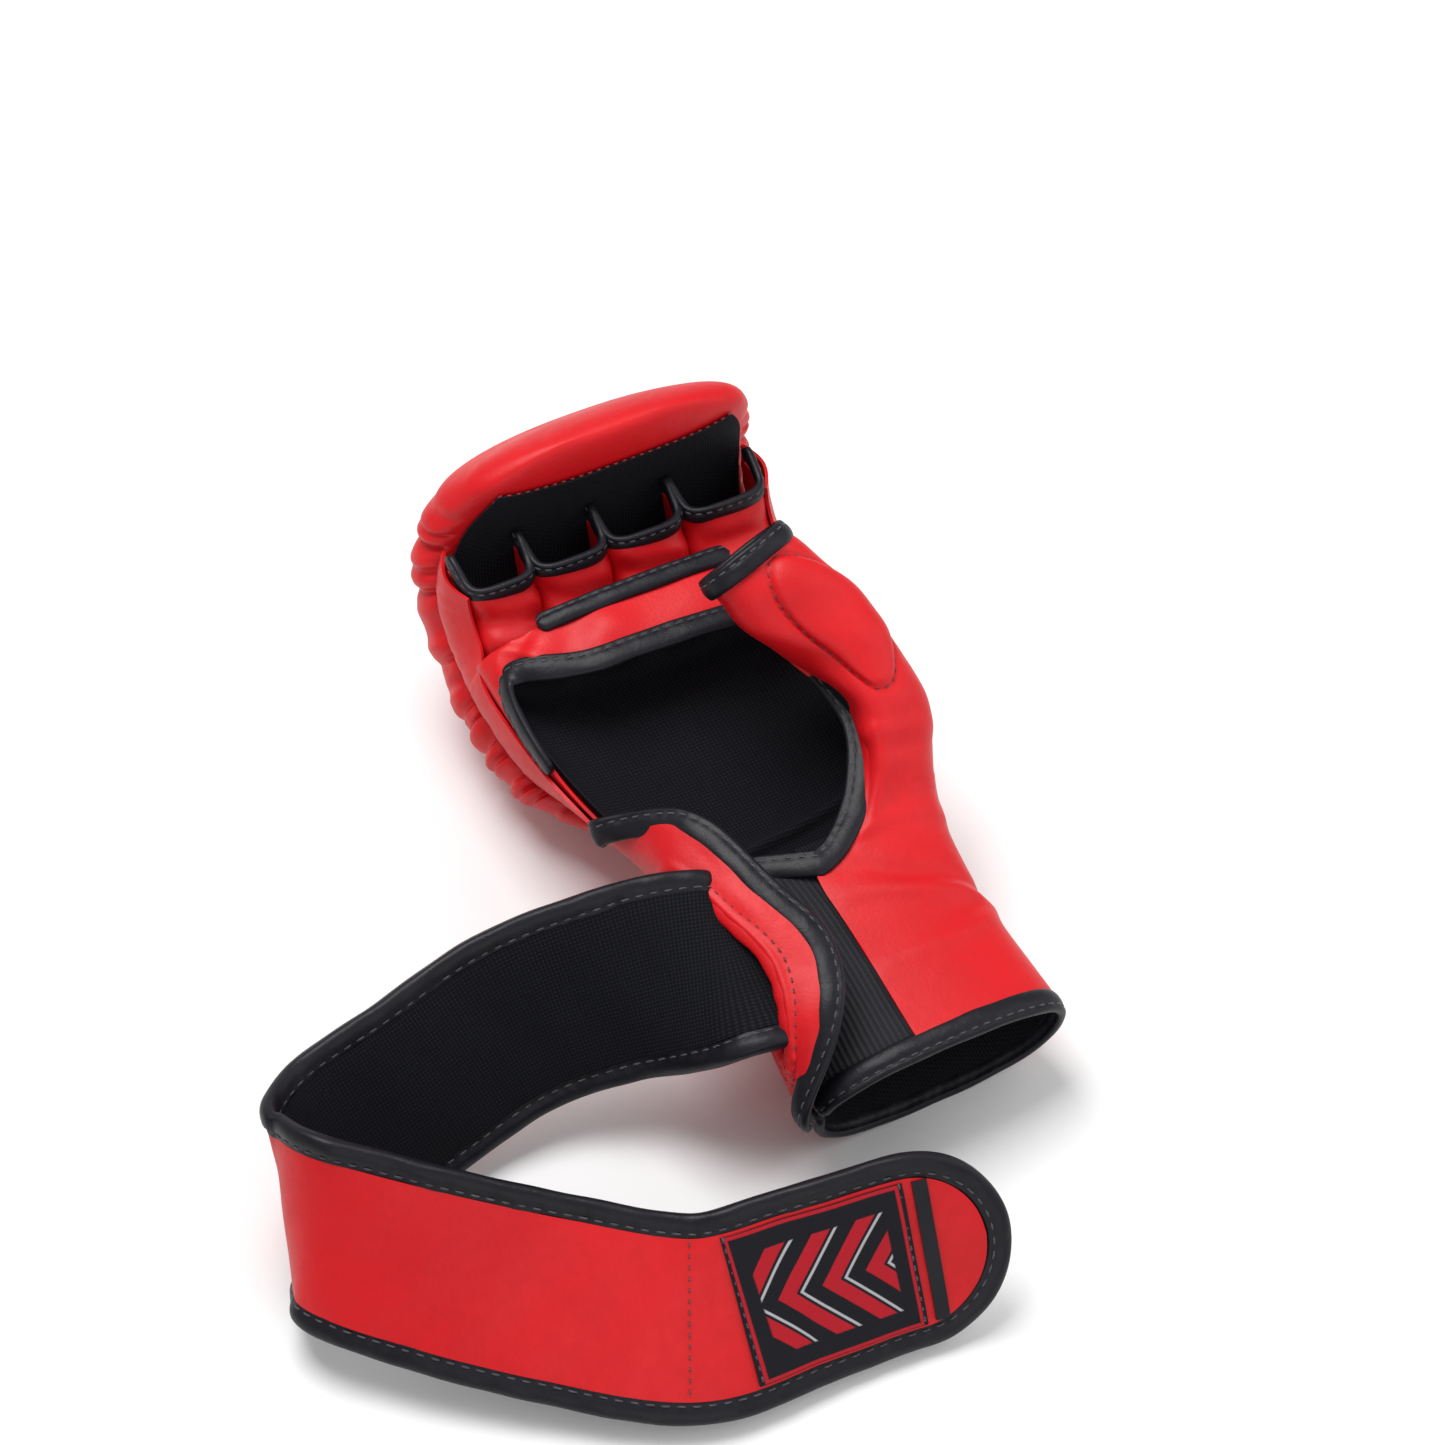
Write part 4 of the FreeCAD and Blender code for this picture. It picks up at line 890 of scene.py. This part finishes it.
lip_theta = np.linspace(0, 2 * math.pi, 200)
lip_y, lip_v = slot_outline(lip_theta, 0.4)
tube_turn = np.linspace(0, 2 * math.pi, 19)[:-1]
lip_mid = flap_point(lip_y, lip_v, 0.7)
lip_up = flap_point(lip_y, lip_v, 1.4) - lip_mid
lip_ahead = np.roll(lip_mid[:-1], -1, 0) - np.roll(lip_mid[:-1], 1, 0)
lip_ahead = np.concatenate([lip_ahead, lip_ahead[:1]])
lip_side = np.cross(lip_up, lip_ahead)
lip_side /= np.linalg.norm(lip_side, axis=1, keepdims=True)
lip_fat = 2.3 + 0.18 * np.sin(lip_theta * 23)
lip_grid = (lip_mid[:, None] + lip_up[:, None] * (np.sin(tube_turn)[None] * lip_fat[:, None])[..., None]
            + lip_side[:, None] * (np.cos(tube_turn)[None] * lip_fat[:, None] * 1.25)[..., None])
lip = sealed(skin("slot_lip_leather", placed(lip_grid), RED, around=True))
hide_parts("slot_lip")
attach(lip, "flap")
ring_y, ring_v = slot_outline(lip_theta, 5.2)
ring_line = flap_point(ring_y, ring_v, 1.9)
slot_sewing = stitches("slot_stitches", ring_line, flap_point(ring_y, ring_v, 3.0) - ring_line, RED_THREAD,
                       length=2.2, pitch=3.8, radius=0.42)
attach(slot_sewing, "flap")

# ---------------------------------------------------------------- elastic strap root
# Ribbed black elastic that joins the strap to the thumb side of the cuff and runs under the flap.


def elastic():
    """Woven elastic: bold ribs along the piece and a fine cross weave, from two sine waves on its UV."""
    made = Finish("black_elastic", Roughness=0.75, Specular_IOR_Level=0.3)
    u, v = made.cloth()
    ribs = ((v * (2 * math.pi / 0.0021)).math("SINE") + 1.0) * 0.5
    weave = ((u * (2 * math.pi / 0.0009)).math("SINE") + 1.0) * 0.5
    made.show(Base_Color=made.mix(ribs * 0.7 + weave * 0.3, (0.004, 0.004, 0.006, 1), (0.022, 0.022, 0.028, 1)))
    made.relief((ribs, 0.7, 0.0005), (weave, 0.4, 0.0002))
    return made.material


ELASTIC = elastic()
root_y, root_angle = np.linspace(2, 78, 60), np.linspace(90, 150, 50)
root = skin("strap_root_elastic", placed(tube(root_y[:, None], root_angle[None], -0.3 + 0.3 * np.sin(
    root_y[:, None] / 4))), ELASTIC, thick=0.0013)
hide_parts("strap_root")
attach(root, "hand")

# ---------------------------------------------------------------- strap
# A long flat strap: red leather outside, black knit inside, foam between, bound in tape all the way round.
# It comes out of the slot, loops back at the left and ends in a round tip with a woven patch.

STRAP_WIDTH, STRAP_CORE, STRAP_FLOOR = 67.0, 2.0, -ORIGIN[2]
# middle line in the table's plane, height of the lower edge, heading and dip of the upper-to-lower direction
STRAP_ROUTE = np.array([
    (-50, 42, 46, -80, 34), (-79, 57, 30, -80, 42), (-120, 68, 14, -80, 52), (-162, 63, 5, -88, 54),
    (-194, 57, 2, -102, 52), (-213, 44, 6, -107, 52), (-213, 24, 14, -113, 52), (-190, 0, 13, -118, 48),
    (-154, -28, 9, -120, 42), (-116, -53, 5, -120, 40), (-80, -59, 3, -118, 48), (-46, -63, 2, -115, 53),
    (-10, -70, 2, -113, 55)], float)


def route(t):
    """Catmull-Rom curve through the route's rows at place t."""
    i = np.minimum(t.astype(int), len(STRAP_ROUTE) - 2)
    f = (t - i)[:, None]
    p = [STRAP_ROUTE[np.clip(i + k, 0, len(STRAP_ROUTE) - 1)] for k in (-1, 0, 1, 2)]
    return 0.5 * (2 * p[1] + (p[2] - p[0]) * f + (2 * p[0] - 5 * p[1] + 4 * p[2] - p[3]) * f**2
                  + (3 * p[1] - p[0] - 3 * p[2] + p[3]) * f**3)


def strap_lines(t):
    """Middle, direction to the lower edge and outer normal at place t, in row millimetres."""
    def middle(t):
        x, y, edge, _, dip = route(t).T
        return np.stack([x, y, edge + STRAP_FLOOR + STRAP_WIDTH / 2 * np.sin(np.radians(dip)) + STRAP_CORE], -1)

    last = len(STRAP_ROUTE) - 1
    ahead = middle(np.minimum(t + 0.05, last)) - middle(np.maximum(t - 0.05, 0))
    ahead /= np.linalg.norm(ahead, axis=1, keepdims=True)
    heading, dip = np.radians(route(t)[:, 3]), np.radians(route(t)[:, 4])
    down = np.stack([np.cos(dip) * np.cos(heading), np.cos(dip) * np.sin(heading), -np.sin(dip)], -1)
    down -= ahead * np.sum(down * ahead, 1, keepdims=True)
    down /= np.linalg.norm(down, axis=1, keepdims=True)
    return middle(t) + ORIGIN, down, np.cross(down, ahead)


def strap_path():
    """Tables of distance, middle line, direction to the lower edge and outer normal, from 30 mm inside the slot.
    Near the slot the strap turns by smooth steps to lie along it, and bends to run in through it."""
    line, down, out = strap_lines(np.linspace(0, len(STRAP_ROUTE) - 1, 961))
    run = np.append(0, np.cumsum(np.linalg.norm(np.diff(line, axis=0), axis=1)))
    low, middle, high = (placed(flap_point(SLOT_Y + k, SLOT_SHARE)) * 1000 for k in (-30, 0, 30))
    slot_along = high - low
    slot_out = placed(flap_point(SLOT_Y, SLOT_SHARE, 5)) * 1000 - middle
    slot_middle = (low + 2 * middle + high) / 4
    slot_along, slot_out = slot_along / np.linalg.norm(slot_along), slot_out / np.linalg.norm(slot_out)
    ahead = np.gradient(line, run, axis=0)
    inside = np.arange(-30, 0, 0.5)
    line, down, ahead = (np.concatenate([np.repeat(values[:1], len(inside), 0), values])
                         for values in (line, down, ahead))
    run = np.concatenate([inside, run])
    turned = ease(run, -8, 16)[:, None]
    ahead = slot_out * (1 - turned) + ahead * turned
    ahead /= np.linalg.norm(ahead, axis=1, keepdims=True)
    path = np.cumsum((ahead[1:] + ahead[:-1]) / 2 * np.diff(run)[:, None], axis=0)
    path = np.concatenate([path[:1] * 0, path])
    path = path - path[np.searchsorted(run, 0)] + slot_middle
    free = ease(run, 0, 46)[:, None]
    line = path * (1 - free) + line * free
    along = ease(run, 3, 48)[:, None]
    ahead = np.gradient(line, run, axis=0)
    ahead /= np.linalg.norm(ahead, axis=1, keepdims=True)
    down = -slot_along * (1 - along) + down * along
    down -= ahead * np.sum(down * ahead, 1, keepdims=True)
    down /= np.linalg.norm(down, axis=1, keepdims=True)
    return run, line, down, np.cross(down, ahead)


STRAP_RUN, *STRAP_TABLES = strap_path()
TIP = STRAP_RUN[-1]


def strap_point(length, across, lift):
    """Row millimetres at a distance along the strap, across it (- upper edge, + lower) and out of its red face."""
    length, across, lift = np.broadcast_arrays(*(np.asarray(k, float) for k in (length, across, lift)))
    read = [np.stack([np.interp(length, STRAP_RUN, values[:, k]) for k in range(3)], -1) for values in STRAP_TABLES]
    return read[0] + read[1] * across[..., None] + read[2] * lift[..., None]


def strap_half(length, width, tip):
    """Half width: constant, and a half circle at the tip."""
    half = width / 2
    return np.sqrt(np.clip(half**2 - np.clip(length - tip + half, 0, half) ** 2, 0.01, None))


def strap_sheet(name, start, end, low, high, width, finish, tip=None):
    """Ply between two lengths and two heights, its faces quilted slightly out; tip gives it a round end."""
    steps = np.linspace(start, end, max(int((end - start) / 1.6), 4) + 1)
    if tip is not None:
        steps = np.concatenate([steps[steps < tip - width / 2 - 2],
                                tip - width / 2 + width / 2 * np.sin(np.linspace(-0.05, 1.48, 40))])
    part = np.linspace(-1, 1, 44)
    half = strap_half(steps, width, tip) if tip is not None else np.full(len(steps), width / 2)
    across = half[:, None] * part[None]
    waves = (0.35 * np.sin(steps[:, None] / 9.3) * np.cos(part[None] * 4) + 0.22 * np.sin(
        steps[:, None] / 4.1 + part[None] * 3))
    puff = 0.5 * (1 - part[None] ** 6)
    sign = 1 if high > 0 else -1
    top = strap_point(steps[:, None], across, (high if sign > 0 else low) + sign * puff + waves * 0.6)
    coords = np.stack([np.broadcast_to(steps[:, None], across.shape), across], -1) / 1000
    return skin(name, top / 1000 if sign < 0 else top[:, ::-1] / 1000, finish, thick=(high - low) / 1000,
                uv=coords if sign < 0 else coords[:, ::-1])


JOIN = 100.0                 # where the strap's near stretch hands over to its far stretch; both are faced in the same mesh knit
SHEET_WIDTH = STRAP_WIDTH - 15
STRAP_IN = -17.0             # the strap runs on this far through the slot


def pile(name, dark, light, scale, depth):
    """Brushed or hooked tape: dense fine bumps from small round cells."""
    made = Finish(name, Roughness=0.9, Specular_IOR_Level=0.2, Sheen_Weight=0.15)
    where = made.place()
    tufts = made.node("ShaderNodeTexVoronoi", None, {"Vector": where, "Scale": scale})
    drift = made.noise(where, 40, 3)
    made.show(Base_Color=made.mix((1 - tufts * 1.4) * (drift + 0.3), dark, light))
    made.relief((1 - tufts, 0.7, depth), (drift, 0.2, 0.001))
    return made.material


BRUSHED = pile("brushed_loop_tape", (0.0028, 0.003, 0.0048, 1), (0.012, 0.012, 0.017, 1), 1300, 0.0003)
HOOKS = pile("hook_tape", (0.004, 0.004, 0.005, 1), (0.05, 0.05, 0.055, 1), 800, 0.0006)


REACH = STRAP_WIDTH / 2 - 4.2
NEAR_RUN, FAR_CENTRE = np.linspace(STRAP_IN - 2, JOIN, 110), TIP - STRAP_WIDTH / 2
ROUND_TIP = np.radians(np.linspace(0, 180, 60))
FAR_RUN = np.linspace(JOIN, FAR_CENTRE, 260)
FAR_SPAN = np.concatenate([FAR_RUN[:-1], FAR_CENTRE + REACH * np.sin(ROUND_TIP), FAR_RUN[::-1][1:]])
FAR_ACROSS = np.concatenate([FAR_RUN[:-1] * 0 - REACH, -REACH * np.cos(ROUND_TIP), FAR_RUN[:-1] * 0 + REACH])


def hold_near(piece):
    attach(piece, "strap_near")


def hold_far(piece):
    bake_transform(piece)


plies = [
    ("strap_near_cover", STRAP_IN, JOIN, 0.1, 2.45, RED, None, hold_near, "leather", ["strap_near_skin"]),
    ("strap_near_facing", STRAP_IN, JOIN, -2.5, 0.0, MESH_KNIT, None, hold_near, "knit",
     ["strap_near_lining", "strap_near_core"]),
    ("strap_far_cover", JOIN, TIP, 0.1, 2.45, RED, TIP - 8.5, hold_far, "leather", ["strap_far_skin"]),
    ("strap_far_facing", JOIN, TIP, -2.5, 0.0, MESH_KNIT, TIP - 8.5, hold_far, "knit",
     ["strap_far_lining", "strap_far_core"]),
]
for name, start, end, low, high, finish, tip, hold, finish_slot, nodes in plies:
    ply = strap_sheet(name, start, end, low, high, SHEET_WIDTH, finish, tip)
    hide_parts(*nodes)
    hold(ply)

far_length = np.sum(np.linalg.norm(np.diff(strap_point(FAR_SPAN, FAR_ACROSS, 0.15), axis=0), axis=1))
near_length = np.sum(np.linalg.norm(np.diff(strap_point(NEAR_RUN, -REACH, 0.15), axis=0), axis=1))
for name, span, across, phase, hold, node in (
        ("strap_upper_tape", NEAR_RUN, -REACH, -near_length, hold_near, "strap_near_binding_upper"),
        ("strap_lower_tape", NEAR_RUN[::-1], REACH, far_length, hold_near, "strap_near_binding_lower"),
        ("strap_round_tape", FAR_SPAN, FAR_ACROSS, 0.0, hold_far, "strap_far_binding_round")):
    line = strap_point(span, across, 0.15)
    face = strap_point(span, across, 1.15) - line
    pieces = tape(name, line, face, width=9.0, height=5.9, seam=-0.42, both=True, row=True, end_round=0.0, step=1.1,
                  pitch=5.0, phase=phase)
    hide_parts(node)
    for piece in pieces:
        hold(piece)

# ---------------------------------------------------------------- woven patch, tip and closures
# A black woven patch with a narrow red border and a plain chevron is sewn on the strap's red face, beside a
# line of red thread; hook tape is sewn inside the tip and loop tape outside the near stretch.

LABEL_END = TIP - 33.0
LABEL_START = LABEL_END - 60.0


def woven_label():
    """Black satin with red and pale chevrons and a red border, all from distances on the patch's own UV."""
    made = Finish("woven_patch", Roughness=0.7, Specular_IOR_Level=0.2)
    red = (0.42, 0.008, 0.018, 1)
    u, v = made.cloth()
    middle_u = (LABEL_START + LABEL_END) / 2000
    du, dv = (u - middle_u).math("ABSOLUTE"), v.math("ABSOLUTE")
    outer = (1 - du.above(0.0286, 0.0002)) * (1 - dv.above(0.0248, 0.0002))
    border = outer - (1 - du.above(0.0274, 0.0002)) * (1 - dv.above(0.0236, 0.0002))
    inside = (1 - du.above(0.0225, 0.0003)) * (1 - dv.above(0.0175, 0.0003))
    slope = u - dv * 0.9 + 1.0
    stripe = (slope * (1 / 0.0150)).math("FRACT")
    bold = stripe.above(0.30, 0.015) - stripe.above(0.72, 0.015)
    pale = stripe.above(0.80, 0.015) - stripe.above(0.88, 0.015)
    weave = ((u * (2 * math.pi / 0.0006)).math("SINE") * (v * (2 * math.pi / 0.0006)).math("SINE") + 1.0) * 0.5
    ground = made.mix(weave, (0.003, 0.003, 0.005, 1), (0.009, 0.009, 0.014, 1))
    with_bold = made.mix(bold * inside, ground, red)
    with_pale = made.mix(pale * inside, with_bold, (0.42, 0.42, 0.44, 1))
    made.show(Base_Color=made.mix(border, with_pale, red))
    raised = bold * inside + pale * inside + border
    made.relief((raised, 0.6, 0.0004), (weave, 0.5, 0.00015))
    return made.material


label = strap_sheet("woven_patch", LABEL_START, LABEL_END, 2.75, 3.45, SHEET_WIDTH - 2, woven_label())
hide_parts("label_patch")
hold_far(label)

strip = strap_sheet("tip_strip", LABEL_END + 3.0, LABEL_END + 8.0, 2.7, 3.5, SHEET_WIDTH - 3, TAPE_FINISH)
hold_far(strip)
for name, start, end, low, finish, finish_slot, hold, width in (
        ("hook_patch_tape", TIP - 26 - 92, TIP - 26, -3.6, HOOKS, "hook_pile", hold_far, SHEET_WIDTH - 12),
        ("loop_patch_tape", 40, JOIN - 3, 2.5, BRUSHED, "loop_pile", hold_near, SHEET_WIDTH - 12)):
    patch = strap_sheet(name, start, end, low, low + 1.3, width, finish)
    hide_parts(name[:10])
    hold(patch)

across = np.linspace(-26, 26, 80)
for name, at_length, height, finish in (("strap_cross_stitches", LABEL_START - 16.0, 3.35, RED_THREAD),
                                        ("patch_stitches_left", LABEL_START + 1.0, 4.0, GREY_THREAD),
                                        ("patch_stitches_right", LABEL_END - 1.0, 4.0, GREY_THREAD)):
    line = strap_point(at_length, across, height)
    face = strap_point(at_length, across, height + 1) - line
    sewing = stitches(name, line, face, finish, length=2.2, pitch=3.6, radius=0.4, row=True)
    hold_far(sewing)

# ---------------------------------------------------------------- floor, light and camera
# A pale sweep and three soft lamps, with the camera looking down at the palm from the wrist's side.

floor_mesh = bpy.data.meshes.new("floor")
floor_mesh.from_pydata([(-3, -3, 0), (3, -3, 0), (3, 3, 0), (-3, 3, 0)], [], [(0, 1, 2, 3)])
floor = bpy.data.objects.new("floor", floor_mesh)
bpy.context.scene.collection.objects.link(floor)
pale = Finish("pale_floor", Base_Color=(0.88, 0.88, 0.88, 1), Roughness=0.9)
floor_mesh.materials.append(pale.material)

world = bpy.data.worlds.new("studio")
world.use_nodes = True
world.node_tree.nodes["Background"].inputs["Color"].default_value = (1, 1, 1, 1)
world.node_tree.nodes["Background"].inputs["Strength"].default_value = 0.40
bpy.context.scene.world = world


def aimed(thing, position, target):
    """Places a lamp or camera at position, looking at target."""
    thing.location = position
    thing.rotation_euler = (Vector(target) - Vector(position)).to_track_quat("-Z", "Y").to_euler()
    bpy.context.scene.collection.objects.link(thing)


AIM_POINT = (np.array([-18.8, 117.3, 62.6]) + ORIGIN) / 1000
CAMERA_DISTANCE = 1.1644
for name, watts, size, position in (("key", 18, 0.8, (-0.1, 0.45, 1.35)), ("fill", 7, 1.4, (1.1, -0.5, 0.9)),
                                    ("front", 5, 1.2, (-0.35, -1.3, 0.75))):
    lamp = bpy.data.lights.new(name, "AREA")
    lamp.energy, lamp.size = watts, size
    aimed(bpy.data.objects.new(name, lamp), position, (0.0, 0.0, 0.04))

camera_data = bpy.data.cameras.new("camera")
camera_data.lens, camera_data.sensor_width = 85, 36
camera = bpy.data.objects.new("camera", camera_data)
turn, rise = math.radians(-27), math.radians(50)
back = np.array([math.sin(turn) * math.cos(rise), -math.cos(turn) * math.cos(rise), math.sin(rise)])
aimed(camera, (AIM_POINT + back * CAMERA_DISTANCE).tolist(), AIM_POINT.tolist())
bpy.context.scene.camera = camera
bpy.context.scene.view_settings.view_transform = "Standard"
